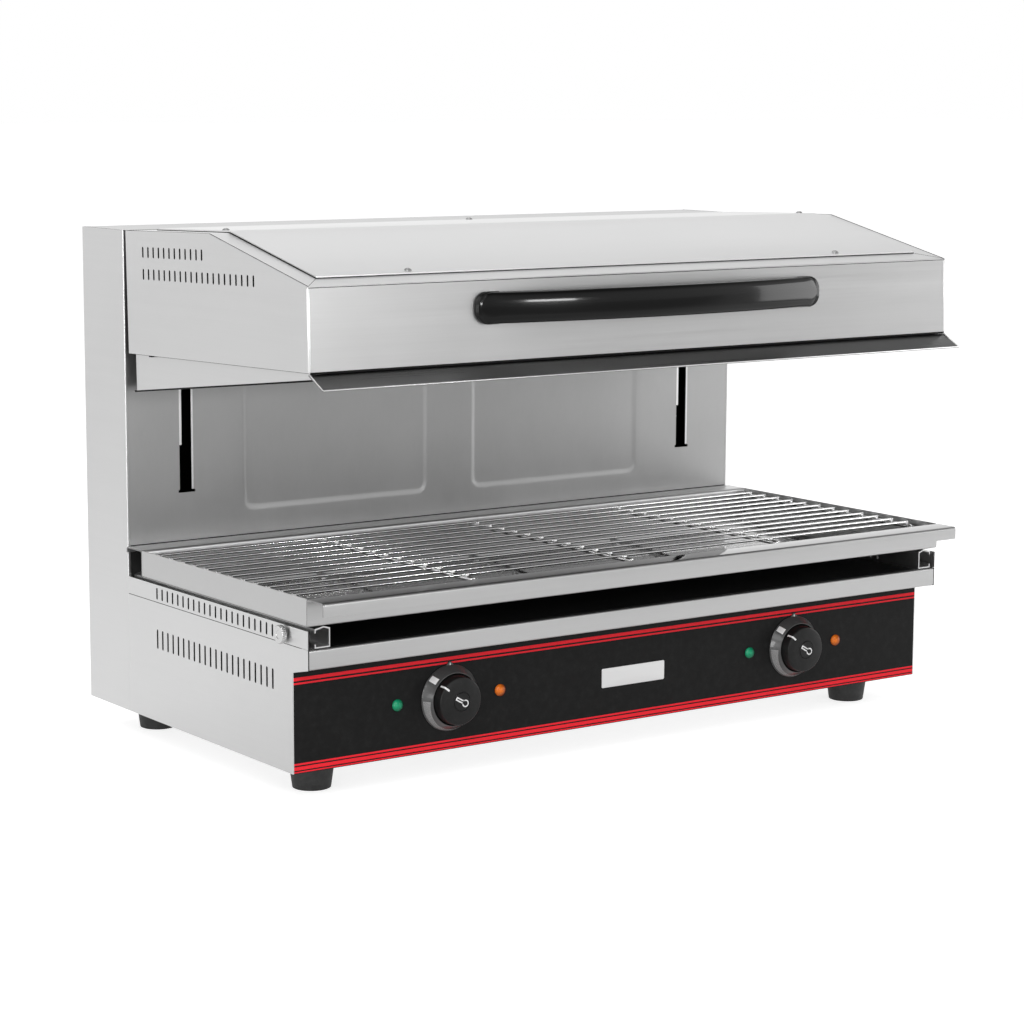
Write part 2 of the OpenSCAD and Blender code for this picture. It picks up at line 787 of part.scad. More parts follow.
module head_front_panel() {
    color("silver") in_head() difference() {
        block([-half_in, -head_d, 0], [half_in, -head_d + sheet, head_front_h - sheet]);
        for (x = [-handle_bolt_x, handle_bolt_x]) translate([x, -head_d - 1, handle_z])
            rotate([-90, 0, 0]) cylinder(d = 5 + 2 * screw_gap, h = sheet + 2);
    }
}

// Points of a sheet that follows the head's top: from y0 to y1, its top surface `up` above the border
function top_line(y0, y1, up) = [[y0, head_top_at(y0) + up], [-head_flat, head_h + up],
    [y1, head_top_at(y1) + up]];
function reversed(p) = [for (i = [len(p) - 1:-1:0]) p[i]];
function top_sheet(y0, y1, up, t) = concat(top_line(y0, y1, up), reversed(top_line(y0, y1, up - t)));

// Border round the head's top, with a large window under the cover
module head_top_frame() {
    margin = border_w + 14;
    color("whitesmoke") in_head() difference() {
        along_x(-half_in, 2 * half_in) polygon(top_sheet(0, -head_d, 0, sheet));
        block([-half_w + margin, -head_d + margin, head_front_h - 10], [half_w - margin, -margin, head_h + 5]);
    }
}

cover_half = half_w - border_w;
cover_front = -head_d + border_w;

// Cover over the window: a shallow lid with turned-down edges
module head_top_cover() {
    color("whitesmoke") in_head() difference() {
        along_x(-cover_half, 2 * cover_half) polygon(top_sheet(-border_w, cover_front, cover_rise, cover_rise));
        along_x(-cover_half + sheet, 2 * (cover_half - sheet)) polygon(
            top_sheet(-border_w - sheet, cover_front + sheet, cover_rise - sheet, cover_rise));
        at_cover_screws() translate([0, 0, -10]) cylinder(d = 4, h = 20);
    }
}

cover_screw_inset = 7;

// The five cover screws: two on the slope, one at each side behind the bend, one at the back
module at_cover_screws() {
    front_y = cover_front + cover_screw_inset;
    for (x = [-270, 270]) translate([x * half_w / 400, front_y, head_top_at(front_y) + cover_rise])
        rotate([slope_angle, 0, 0]) children();
    for (x = [-1, 1]) translate([x * (cover_half - cover_screw_inset), -head_flat + 20, head_h + cover_rise])
        children();
    translate([0, -border_w - cover_screw_inset, head_h + cover_rise]) children();
}

module cover_screws() {
    color("gray") in_head() at_cover_screws() dome_screw(3.8, 2.2, 1.9, cover_rise - 0.2);
}

module head_rear_plate() {
    color("silver") in_head() difference() {
        block([-half_in, -sheet, 0], [half_in, 0, head_h - sheet]);
        at_arm_bolts() translate([0, 0, -10]) cylinder(d = 6 + 2 * screw_gap, h = 20);
    }
}

// Deflector along the bottom of the front: a flange behind the front panel, bent out and down
module front_visor() {
    back = -head_d + sheet;
    shadow = 1.6;
    tab = 12;
    run = visor_out + sheet;
    fall = visor_drop - shadow;
    off_y = sheet * sin(atan(fall / run));
    off_z = sheet * cos(atan(fall / run));
    bend_z = -shadow - off_z + (sheet - off_y) * fall / run;
    color("silver") in_head() {
        along_x(-half_w, body_w) polygon([[back, -shadow], [-head_d - visor_out, -visor_drop],
            [-head_d - visor_out + off_y, -visor_drop - off_z], [back + sheet, bend_z]]);
        along_x(-half_in + tab, 2 * (half_in - tab)) polygon([[back, -shadow], [back + sheet, bend_z],
            [back + sheet, tab], [back, tab]]);
    }
}

// Heater box below the head: two sides cut on a slant, a deep back and a shallow front
skirt_half = half_in - skirt_gap;
skirt_top = 47;
skirt_rear = -5.5;
skirt_front = -head_d + 5;
function skirt_foot(y) = -skirt_rear_drop
    + (skirt_rear - y) * (skirt_rear_drop - skirt_front_drop) / (skirt_rear - skirt_front);

module heater_side_skirts() {
    color("silver") in_head() both_sides() along_x(skirt_half - sheet, sheet) polygon([
        [skirt_rear, skirt_foot(skirt_rear)], [skirt_rear, skirt_top],
        [skirt_front, skirt_top], [skirt_front, skirt_foot(skirt_front)]]);
}

module heater_rear_skirt() {
    color("silver") in_head() block([-skirt_half + sheet, skirt_rear - sheet, -skirt_rear_drop],
        [skirt_half - sheet, skirt_rear, skirt_top]);
}

module heater_front_skirt() {
    color("silver") in_head() block([-skirt_half + sheet, skirt_front, -skirt_front_drop],
        [skirt_half - sheet, skirt_front + sheet, skirt_top]);
}

// ---------- heating ----------

reflector_z = skirt_top;
element_z = reflector_z - element_drop;
insulation_z = reflector_z + sheet;
element_r = element_d / 2;
leg_bend = 12;
zone_in = 24;
zone_out = skirt_half - sheet - element_bend - element_r - 14;
hairpin_y = [skirt_rear - 32 - element_bend, skirt_front + 32 + element_bend];
leg_places = [for (s = [-1, 1], y = hairpin_y, e = [-1, 1]) [s * zone_in, y + e * element_bend]];

module reflector() {
    color("whitesmoke") in_head() difference() {
        block([-half_in, skirt_front, reflector_z], [half_in, skirt_rear, reflector_z + sheet]);
        for (p = leg_places) translate([p[0], p[1], reflector_z - 1]) cylinder(r = element_r + 1, h = sheet + 2);
    }
}

module insulation() {
    edge = 8;
    color("ivory") in_head() difference() {
        block([-skirt_half + edge, skirt_front + edge, insulation_z],
            [skirt_half - edge, skirt_rear - edge, insulation_z + insulation_t]);
        for (p = leg_places) translate([p[0], p[1], insulation_z - 1])
            cylinder(r = element_r + 1, h = insulation_t + 2);
    }
}

// One hairpin: up two legs near the middle, along the head, and round a return bend at its outer end
module hairpin() {
    run = zone_out - zone_in - leg_bend;
    for (e = [-1, 1]) translate([zone_in, e * element_bend, element_z]) {
        translate([leg_bend, 0, 0]) rotate([0, 90, 0]) cylinder(r = element_r, h = run, $fn = 32);
        translate([leg_bend, 0, leg_bend]) rotate([90, 0, 0]) rotate([0, 0, 180]) rotate_extrude(angle = 90)
            translate([leg_bend, 0]) circle(element_r, $fn = 32);
        translate([0, 0, leg_bend])
            cylinder(r = element_r, h = insulation_z + insulation_t + 3 - element_z - leg_bend, $fn = 32);
    }
    translate([zone_out, 0, element_z]) rotate([0, 0, -90]) rotate_extrude(angle = 180)
        translate([element_bend, 0]) circle(element_r, $fn = 32);
}

module right_elements() {
    color([0.35, 0.22, 0.18]) in_head() for (y = hairpin_y) translate([0, y, 0]) hairpin();
}

module left_elements() {
    color([0.35, 0.22, 0.18]) in_head() mirror([1, 0, 0]) for (y = hairpin_y) translate([0, y, 0]) hairpin();
}

// Ceramic end with a stud on top of each element leg
module element_terminals() {
    color("ivory") in_head() for (p = leg_places)
        translate([p[0], p[1], insulation_z + insulation_t + 3]) {
            cylinder(r = element_r + 1.5, h = 5);
            cylinder(r = 1.5, h = 12);
        }
}

// Strips that hang from the reflector and cradle the elements
module element_hangers() {
    strip = 1.5;
    low = element_z - element_r - 2;
    span = [hairpin_y[1] - element_bend - 12, hairpin_y[0] + element_bend + 12];
    color("gray") in_head() both_sides() for (x = [zone_in + 80, zone_out - 40]) difference() {
        block([x, span[0], low], [x + strip, span[1], reflector_z]);
        for (y = hairpin_y, e = [-1, 1]) translate([x - 1, y + e * element_bend, element_z])
            rotate([0, 90, 0]) cylinder(r = element_r + 0.2, h = strip + 2);
        for (y = concat(hairpin_y, [(hairpin_y[0] + hairpin_y[1]) / 2]))
            block([x - 1, y - 20, low - 1], [x + strip + 1, y + 20, reflector_z - 8]);
    }
}

// Thermostat sensing bulbs, lying just under the reflector, with a clip at each end
module sensor_bulbs() {
    bulb_r = 3;
    bulb_l = 90;
    bulb_x = (zone_in + zone_out) / 2;
    color("peru") in_head() both_sides() translate([bulb_x, (hairpin_y[0] + hairpin_y[1]) / 2, 0]) {
        translate([-bulb_l / 2, 0, reflector_z - bulb_r - 2]) rotate([0, 90, 0]) cylinder(r = bulb_r, h = bulb_l);
        for (x = [-30, 30]) translate([x - 2, -1.5, reflector_z - bulb_r - 2]) cube([4, 3, bulb_r + 2]);
    }
}

// Small black clips between the side panels' lower edges and the heater box
module side_clips() {
    color([0.08, 0.08, 0.08]) in_head() both_sides() translate([skirt_half, -45, -1.8])
        cube([skirt_gap, 5, 6]);
}

// ---------- handle ----------

// Radius of an arc with half chord c and rise r
function arc_radius(c, r) = (c * c + r * r) / (2 * r);

// Bow handle: an arc in plan with its ends flat on the front panel, rounded like a long oval
module handle() {
    foot_l = 26;
    pad = 6;
    inner_c = handle_w / 2 - foot_l;
    inner_rise = handle_out - handle_t;
    bow_c = handle_w / 2 - 4;
    bow_r = arc_radius(bow_c, handle_out - pad);
    gap_r = arc_radius(inner_c, inner_rise);
    corner = handle_h / 2 - 2.5;
    color([0.05, 0.05, 0.05]) in_head() translate([0, -head_d, handle_z]) difference() {
        union() {
            intersection() {
                translate([0, -pad + bow_r - (handle_out - pad), -handle_h / 2])
                    cylinder(r = bow_r, h = handle_h, $fn = 720);
                rotate([90, 0, 0]) linear_extrude(handle_out + 1)
                    round_rect(2 * bow_c, handle_h - 1, corner - 0.5);
            }
            rotate([90, 0, 0]) linear_extrude(pad) round_rect(handle_w, handle_h, corner);
        }
        translate([0, gap_r - inner_rise, -handle_h]) cylinder(r = gap_r, h = 2 * handle_h, $fn = 720);
        for (x = [-handle_bolt_x, handle_bolt_x]) translate([x, -pad, 0])
            rotate([-90, 0, 0]) cylinder(d = 5 + 2 * press_gap, h = pad + 3);
    }
}

// ---------- lift ----------

bolt_x = 20;

// Bolts through the head's back plate into the lift arms' flanges, drawn in the head's frame
module at_arm_bolts() {
    for (s = [-1, 1], x = [-bolt_x, bolt_x], z = [16, 52])
        translate([s * slot_x + x, 0, z]) rotate([-90, 0, 0]) children();
}

// Bolts of the lift arms and of the handle, with their heads inside the head
module head_bolts() {
    color("gray") in_head() {
        at_arm_bolts() {
            translate([0, 0, -sheet - 3]) cylinder(r = 5, h = 3, $fn = 6);
            translate([0, 0, -sheet - 1]) cylinder(d = 6, h = sheet + flange_t + 0.5);
        }
        for (x = [-handle_bolt_x, handle_bolt_x]) translate([x, -head_d + sheet, handle_z])
            rotate([90, 0, 0]) {
                translate([0, 0, -2.5]) cylinder(r = 3.4, h = 2.5, $fn = 6);
                translate([0, 0, -1]) cylinder(d = 5, h = sheet + 6.5);
            }
    }
}

// Arm through each lift slot, from a flange on the head to the carriage block
module lift_arms() {
    z1 = arm_z + arm_h;
    color("dimgray") both_sides() {
        difference() {
            union() {
                along_x(slot_x - arm_t / 2, arm_t) polygon([
                    [rod_y - block_d / 2, arm_z], [rod_y - block_d / 2, z1],
                    [head_plane_y(flange_t / 2, z1), z1], [head_plane_y(flange_t / 2, arm_z), arm_z]]);
                in_head() block([slot_x - bolt_x - 9, 0, 4], [slot_x + bolt_x + 9, flange_t, 64]);
            }
            in_head() at_arm_bolts() translate([0, 0, -1]) cylinder(d = 6 + 2 * press_gap, h = flange_t + 2);
            in_head() block([slot_x - 60, -30, -40], [slot_x + 60, 0, head_h]);
        }
    }
}

// Carriage: a block on each guide rod, joined by a cross bar
module carriage() {
    bar_d = 20;
    color("slategray") {
        both_sides() difference() {
            translate([slot_x - block_w / 2, rod_y - block_d / 2, arm_z]) cube([block_w, block_d, arm_h]);
            translate([slot_x, rod_y, arm_z - 1]) cylinder(r = bush_r + press_gap, h = arm_h + 2);
        }
        difference() {
            block([-slot_x + block_w / 2, rod_y - bar_d / 2, bar_z], [slot_x - block_w / 2, rod_y + bar_d / 2,
                bar_z + bar_h]);
            for (x = [-strut_x, strut_x]) translate([x, rod_y, bar_z - 1])
                cylinder(d = strut_rod_d + 2 * press_gap, h = 12);
        }
    }
}

module guide_bushes() {
    bush_h = 26;
    color("goldenrod") both_sides() for (z = [arm_z, arm_z + arm_h - bush_h]) difference() {
        translate([slot_x, rod_y, z]) cylinder(r = bush_r, h = bush_h);
        translate([slot_x, rod_y, z - 1]) cylinder(r = rod_r + running_gap, h = bush_h + 2);
    }
}

module strut_rods() {
    piston_top = strut_top - gland_h - 2;
    color("silver") both_sides() translate([strut_x, rod_y, 0]) {
        translate([0, 0, piston_top - piston_h]) cylinder(r = strut_d / 2 - strut_wall - 0.2, h = piston_h);
        translate([0, 0, piston_top - 1]) cylinder(d = strut_rod_d, h = bar_z + 10 - piston_top);
        translate([0, 0, bar_z - 6]) cylinder(r = strut_rod_d / 2 + 3, h = 6, $fn = 6);
    }
}

// ---------- knobs ----------

// Knob turned to its rest angle, drawn in a dial's frame with its white pointer at the top
module turned(x) {
    at_dial(x) rotate([0, 0, -knob_angle]) children();
}

module knob() {
    foot = 2;
    bevel = 1.2;
    cap_rise = 0.8;
    difference() {
        union() {
            rotate_extrude() polygon([[0, foot], [knob_r, foot], [knob_r, foot + 6],
                [knob_r - 1, knob_h - bevel], [knob_r - 1 - bevel, knob_h], [0, knob_h]]);
            translate([0, 0, knob_h - 1]) cylinder(d = knob_cap_d, h = 1 + cap_rise);
        }
        translate([0, 0, foot - 1]) cylinder(r = spindle_r + press_gap, h = knob_h - foot - 3);
        pointer_shape(0);
    }
}

// The white mark on a knob: a bar let into its face and its rim
module pointer_shape(gap) {
    bar_w = 1.6;
    depth = 0.8;
    bar_l = 9;
    translate([-bar_w / 2 + gap, knob_r - bar_l, knob_h - depth + gap]) cube([bar_w - 2 * gap, bar_l, depth + 1]);
}

module pointer() {
    intersection() {
        pointer_shape(press_gap);
        cylinder(r = knob_r - 1.4, h = knob_h + 0.2);
    }
}

// Spindle with a flat where the knob grips it
module spindle() {
    difference() {
        translate([0, 0, -panel_t - spindle_in + 1]) cylinder(r = spindle_r, h = panel_t + spindle_in + knob_h - 6);
        translate([-5, spindle_r - 1, 6]) cube([10, 5, knob_h]);
    }
}

module left_knob() {
    color([0.07, 0.07, 0.07]) turned(-dial_x) knob();
}

module right_knob() {
    color([0.07, 0.07, 0.07]) turned(dial_x) knob();
}

module left_pointer() {
    color("white") turned(-dial_x) pointer();
}

module right_pointer() {
    color("white") turned(dial_x) pointer();
}

module left_spindle() {
    color("silver") turned(-dial_x) spindle();
}

module right_spindle() {
    color("silver") turned(dial_x) spindle();
}

// ---------- nodes ----------

base_left_side();
base_right_side();
base_floor();
base_top_plate();
control_panel();
badge_plate();
dial_rings();
thermostats();
power_lamps();
heat_lamps();
terminal_block();
cable_gland();
rubber_feet();
foot_screws();
column_left_side();
column_right_side();
column_back_cover();
back_panel();
rear_cross_member();
guide_rods();
rod_clamps();
strut_cylinders();
slotted_rails();
tray_runners();
casing_screws();
head_left_side();
head_right_side();
head_front_panel();
head_top_frame();
head_top_cover();
head_rear_plate();
front_visor();
heater_side_skirts();
heater_rear_skirt();
heater_front_skirt();
reflector();
insulation();
left_elements();
right_elements();
element_terminals();
element_hangers();
sensor_bulbs();
cover_screws();
side_clips();
handle();
head_bolts();
lift_arms();
carriage();
guide_bushes();
strut_rods();
drip_tray();
wire_rack();
left_knob();
left_pointer();
left_spindle();
right_knob();
right_pointer();
right_spindle();
left_thumb_screw();
right_thumb_screw();
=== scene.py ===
"""Looks of the table-top cheese melter: brushed and bright stainless sheet, a glossy black bow handle,
a black front panel with red stripes, two thermostat dials, lamps, a chromed wire rack in its drip tray.

Metres, in the part's own frame: +X right, the front faces -Y, +Z up.
"""

import itertools
import json
import math

import bmesh
import bpy
import numpy as np
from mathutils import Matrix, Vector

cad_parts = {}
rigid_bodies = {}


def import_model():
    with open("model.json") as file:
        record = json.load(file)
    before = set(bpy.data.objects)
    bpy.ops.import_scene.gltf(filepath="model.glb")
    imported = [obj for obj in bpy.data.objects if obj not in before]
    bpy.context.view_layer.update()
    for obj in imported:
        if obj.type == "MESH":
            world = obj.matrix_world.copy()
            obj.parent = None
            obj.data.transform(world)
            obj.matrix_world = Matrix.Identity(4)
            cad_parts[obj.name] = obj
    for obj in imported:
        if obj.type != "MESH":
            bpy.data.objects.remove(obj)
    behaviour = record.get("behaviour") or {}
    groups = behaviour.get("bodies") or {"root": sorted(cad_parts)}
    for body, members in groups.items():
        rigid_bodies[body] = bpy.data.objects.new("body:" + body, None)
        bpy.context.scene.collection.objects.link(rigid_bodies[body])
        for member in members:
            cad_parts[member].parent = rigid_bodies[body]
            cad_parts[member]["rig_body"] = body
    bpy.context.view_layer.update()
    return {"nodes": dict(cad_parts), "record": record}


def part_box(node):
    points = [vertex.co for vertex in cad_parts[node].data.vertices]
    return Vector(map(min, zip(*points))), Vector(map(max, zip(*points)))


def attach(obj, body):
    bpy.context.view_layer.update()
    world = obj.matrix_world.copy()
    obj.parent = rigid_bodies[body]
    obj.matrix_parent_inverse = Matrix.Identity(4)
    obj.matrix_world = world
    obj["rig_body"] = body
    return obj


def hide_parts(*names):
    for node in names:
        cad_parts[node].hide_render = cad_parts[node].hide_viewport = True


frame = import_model()
NODES = frame["nodes"]
MM = 0.001
SIDES = (("left", -1), ("right", 1))

# --- stations of the machine

top_low, top_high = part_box("base_top_plate")
column_low, column_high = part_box("column_right_side")
back_low, back_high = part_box("back_panel")
tray_low, tray_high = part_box("drip_tray")
rack_low, rack_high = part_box("wire_rack")
plate_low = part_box("head_rear_plate")[0]

SHEET = 1.2 * MM
HALF_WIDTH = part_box("base_right_side")[1].x
PANEL_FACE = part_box("control_panel")[0].y
LIP_FACE = top_low.y
COLUMN_FACE, COLUMN_REAR = column_low.y, column_high.y
BASE_TOP = top_high.z

# The head stands nose up by this angle; its own y runs from its back plate (0) forwards (negative)
HEAD_TILT = math.radians(1.6)
HEAD_Y = plate_low.y + SHEET * math.cos(HEAD_TILT)
HEAD_Z = plate_low.z
HEAD_DEPTH = 351 * MM


def mm(lengths):
    """Lengths or points given in millimetres."""
    return np.array(lengths, float) * MM


def unit(vectors):
    """Each vector divided by its length."""
    return vectors / np.linalg.norm(vectors, axis=-1, keepdims=True)


def in_head(points):
    """Points drawn in the head's frame, turned by its tilt about X and moved to the foot of its back."""
    p = np.asarray(points, float)
    c, s = math.cos(HEAD_TILT), math.sin(HEAD_TILT)
    y = HEAD_Y + p[..., 1] * c + p[..., 2] * s
    z = HEAD_Z - p[..., 1] * s + p[..., 2] * c
    return np.stack([p[..., 0], y, z], -1)


# --- surfaces


def grid_faces(nu, nv, wrap=True):
    """The four-sided faces of a grid of nu by nv points, closed along v unless wrap is off."""
    i, j = np.meshgrid(np.arange(nu - 1), np.arange(nv if wrap else nv - 1), indexing="ij")
    j2 = (j + 1) % nv
    return np.stack([i * nv + j, (i + 1) * nv + j, (i + 1) * nv + j2, i * nv + j2], -1).reshape(-1, 4)


def patch(points, wrap=True):
    """A grid of points as one shell: (points, faces)."""
    p = np.asarray(points, float)
    return p.reshape(-1, 3), grid_faces(p.shape[0], p.shape[1], wrap)


def joined(*shells):
    """Several shells in one mesh, the faces counted on from one to the next."""
    points, faces, count = [], [], 0
    for p, f in shells:
        points.append(p)
        faces.append(f + count)
        count += len(p)
    return np.concatenate(points), np.concatenate(faces)


def moved(shell, place):
    """A shell with each of its points put through the function place."""
    return place(shell[0]), shell[1]


def lathe(profile, centre, axis, sides):
    """A profile (r, h) turned about an axis: centre + r cos t U + r sin t V + h W, W along the axis."""
    w = unit(np.asarray(axis, float))
    u = unit(np.cross(w, (0.31, 0.87, 0.39)) if abs(w[1]) < 0.9 else np.array([1.0, 0, 0]))
    v = np.cross(w, u)
    t = np.linspace(0, 2 * math.pi, sides, endpoint=False)
    r, h = np.asarray(profile, float).T
    ring = np.cos(t)[:, None] * u + np.sin(t)[:, None] * v
    return patch(np.asarray(centre) + r[:, None, None] * ring + h[:, None, None] * w)


def tube(path, radius, sides=16, blunt=0.35):
    """A round tube along a path: p(s) + r (cos t A + sin t B), A and B square to the path. Each end
    is closed by rings whose radius falls as a quarter ellipse, blunt times the radius long."""
    p = np.asarray(path, float)
    first, last = unit(p[1] - p[0]), unit(p[-1] - p[-2])
    q = np.linspace(0, math.pi / 2, 5)[:, None]
    line = np.concatenate([p[0] + radius * blunt * (1 - np.cos(q)) * first, p[1:-1],
                           (p[-1] - radius * blunt * (1 - np.cos(q)) * last)[::-1]])
    size = radius * np.concatenate([np.sin(q)[:, 0], np.ones(len(p) - 2), np.sin(q)[::-1, 0]])
    tangent = np.gradient(p, axis=0)
    tangent = unit(np.concatenate([np.repeat(tangent[:1], 5, 0), tangent[1:-1], np.repeat(tangent[-1:], 5, 0)]))
    a = unit(np.cross(tangent, (0.577, 0.577, 0.577)))
    b = np.cross(tangent, a)
    t = np.linspace(0, 2 * math.pi, sides, endpoint=False)[:, None]
    ring = np.cos(t) * a[:, None, :] + np.sin(t) * b[:, None, :]
    return patch(line[:, None, :] + size[:, None, None] * ring)


def arc(centre, radius, start, stop, steps):
    """Points of an arc in the plane: centre + r (cos t, sin t), t in degrees."""
    t = np.radians(np.linspace(start, stop, steps))
    return np.stack([centre[0] + radius * np.cos(t), centre[1] + radius * np.sin(t)], -1)


def rounded(corners, radius, steps=7):
    """A bent line with each inner corner replaced by points of a quadratic curve through its bend,
    (1-t)^2 a + 2t(1-t) c + t^2 b, where a and b lie one radius times tan(half the turn) from the corner c,
    or 0.45 of a leg where that is less."""
    c = np.asarray(corners, float)
    out = [c[:1]]
    t = np.linspace(0, 1, steps)[:, None]
    for before, here, after in zip(c[:-2], c[1:-1], c[2:]):
        d0, d1 = here - before, after - here
        l0, l1 = np.linalg.norm(d0), np.linalg.norm(d1)
        turn = math.acos(np.clip(d0 @ d1 / l0 / l1, -1, 1))
        cut = min(radius * math.tan(turn / 2), 0.45 * l0, 0.45 * l1)
        a, b = here - d0 / l0 * cut, here + d1 / l1 * cut
        out.append((1 - t) ** 2 * a + 2 * t * (1 - t) * here + t**2 * b)
    out.append(c[-1:])
    return np.concatenate(out)


def thick_line(line, thickness):
    """Both faces of a sheet whose middle is the line: line + n t/2 and line - n t/2, with n the normal,
    lengthened at a bend by 1 / cos(half the turn) so that the sheet keeps its thickness."""
    d = unit(np.diff(line, axis=0))
    n = np.stack([-d[:, 1], d[:, 0]], -1)
    n = np.concatenate([n[:1], (n[:-1] + n[1:]) / 2, n[-1:]])
    n /= (n**2).sum(1)[:, None]
    return line + n * thickness / 2, line - n * thickness / 2


def folded_sheet(line, thickness, start, stop, along="x"):
    """A sheet folded along a line in a plane and carried from start to stop along one axis: its two
    faces, its two long edges and its two cut ends, as one closed shell of quads."""
    one, other = thick_line(np.asarray(line, float), thickness)
    n, loop = len(one), np.concatenate([one, other[::-1]])
    points = np.concatenate([np.insert(loop, "xyz".index(along), s, axis=1) for s in (start, stop)])
    sides = grid_faces(2, 2 * n)
    i = np.arange(n - 1)
    cap = np.stack([i, i + 1, 2 * n - 2 - i, 2 * n - 1 - i], -1)
    return points, np.concatenate([sides, cap, cap[:, ::-1] + 2 * n])


def box_shell(low, high):
    """The six faces of a box from its low to its high corner."""
    faces = np.array([[0, 1, 3, 2], [4, 6, 7, 5], [0, 4, 5, 1], [2, 3, 7, 6], [0, 2, 6, 4], [1, 5, 7, 3]])
    return np.array(list(itertools.product(*zip(low, high))), float), faces


def stadium(half_length, half_height, end_radius, steps=10):
    """A rectangle with round corners, as a closed line in the plane, anticlockwise."""
    r = min(end_radius, half_height, half_length)
    x, z = half_length - r, half_height - r
    corners = ((x, -z), (x, z), (-x, z), (-x, -z))
    return np.concatenate([arc(c, r, 90 * i - 90, 90 * i, steps) for i, c in enumerate(corners)])


def pillow_plate(outline, heights, insets):
    """A flat plate with a rounded rim: the outline drawn in by each inset at each height, closed by the
    innermost ring drawn in to its centre. Returned in the plane's own x, y and height."""
    centre = outline.mean(0)
    span = np.abs(outline - centre).max(0)
    rings = [np.concatenate([centre + (outline - centre) * (1 - inset / span), np.full((len(outline), 1), h)], 1)
             for h, inset in zip(heights, insets)]
    last = rings[-1].copy()
    last[:, :2] = centre
    first = rings[0].copy()
    first[:, :2] = centre
    return patch(np.stack([first, *rings, last]))


# --- pieces

MERGE, CREASE, ROUND_FROM = 1e-6, 35, math.radians(30)


def with_values(thing, **values):
    """Sets attributes of a node, modifier or lamp and gives it back."""
    for key, value in values.items():
        setattr(thing, key, value)
    return thing


def placed(name, data):
    """A new object in the scene, at the origin."""
    obj = bpy.data.objects.new(name, data)
    bpy.context.scene.collection.objects.link(obj)
    return obj


def covered(obj, material):
    """The object with this as its only material."""
    obj.data.materials.clear()
    obj.data.materials.append(material)


def mended(mesh, near, flat=0.0):
    """Doubles merged; then the faces of a CAD sheet joined up to the angle flat, or a new shell's turned out."""
    work = bmesh.new()
    work.from_mesh(mesh)
    bmesh.ops.remove_doubles(work, verts=work.verts, dist=near)
    if flat:
        bmesh.ops.dissolve_limit(work, angle_limit=flat, use_dissolve_boundaries=False, verts=work.verts,
                                 edges=work.edges, delimit=set())
    else:
        bmesh.ops.dissolve_degenerate(work, edges=work.edges, dist=near)
        bmesh.ops.recalc_face_normals(work, faces=work.faces)
    work.to_mesh(mesh)
    work.free()


def piece(name, shell, body, slot, material, replaces=(), crease=CREASE, rim=None):
    """One mesh of the object: doubles merged, faces turned outwards, soft shading up to the crease angle,
    and rim as a small rounding of its sharp edges. It rides on a body and stands for the CAD nodes named."""
    mesh = bpy.data.meshes.new(name)
    mesh.from_pydata(shell[0].tolist(), [], shell[1].tolist())
    mended(mesh, MERGE)
    return dressed(placed(name, mesh), body, slot, material, replaces, crease, rim)


def dressed(obj, body, slot, material, replaces, crease, rim):
    """Material, shading, rim and body of a new piece."""
    covered(obj, material)
    obj.data.polygons.foreach_set("use_smooth", np.ones(len(obj.data.polygons), bool))
    obj.data.set_sharp_from_angle(angle=math.radians(crease))
    if rim:
        with_values(obj.modifiers.new("Rim", "BEVEL"), width=rim, segments=2, limit_method="ANGLE",
                    angle_limit=ROUND_FROM, harden_normals=True, use_clamp_overlap=True)
    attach(obj, body)
    if replaces:
        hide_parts(*replaces)
    return obj


def sheet_from(node, name, material, rim=0.35 * MM):
    """A sheet of the CAD model with its cut edges rounded: its mesh is copied, merged, its flat faces
    joined, and each edge that turns by more than 30 degrees gets a small round."""
    mesh = NODES[node].data.copy()
    mended(mesh, 2 * MERGE, flat=math.radians(0.1))
    mesh.name = name
    slot = next(s["material_slot"] for s in frame["record"]["subparts"] if s["node"] == node)
    return dressed(placed(name, mesh), NODES[node]["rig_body"], slot, material, [node], CREASE, rim)


# --- shader groups


class Graph:
    """Short words for building a node tree."""

    def __init__(self, tree):
        self.tree = tree

    def feed(self, node, inputs):
        """Links or constants into a node's inputs, which are named or counted from 0."""
        for key, value in inputs.items():
            if isinstance(value, bpy.types.NodeSocket):
                self.tree.links.new(value, node.inputs[key])
            else:
                node.inputs[key].default_value = value
        return node

    def new(self, kind, *values, **settings):
        """A shader node with its settings, and the values fed to its first inputs."""
        node = with_values(self.tree.nodes.new("ShaderNode" + kind), **settings)
        return self.feed(node, dict(enumerate(values)))

    def place(self):
        """Object coordinates."""
        return self.new("TexCoord").outputs["Object"]

    def maths(self, operation, a, b=0.0, clamp=False):
        return self.new("Math", a, b, operation=operation, use_clamp=clamp).outputs[0]

    def add(self, a, b, clamp=False):
        return self.maths("ADD", a, b, clamp)

    def times(self, a, b, clamp=False):
        return self.maths("MULTIPLY", a, b, clamp)

    def swing(self, value, amount):
        """(value - 0.5) times the amount: a noise as a swing about nought."""
        return self.times(self.maths("SUBTRACT", value, 0.5), amount)

    def blend(self, factor, a, b):
        return self.feed(self.new("Mix", data_type="RGBA"), {0: factor, 6: a, 7: b}).outputs[2]

    def ramp(self, *values, **settings):
        """Map Range of: value, from low, from high, to low, to high."""
        return self.new("MapRange", *values, **settings).outputs[0]

    def noise(self, vector, scale, detail=4.0, roughness=0.6):
        inputs = {"Vector": vector, "Scale": scale, "Detail": detail, "Roughness": roughness}
        return self.feed(self.new("TexNoise"), inputs).outputs[0]


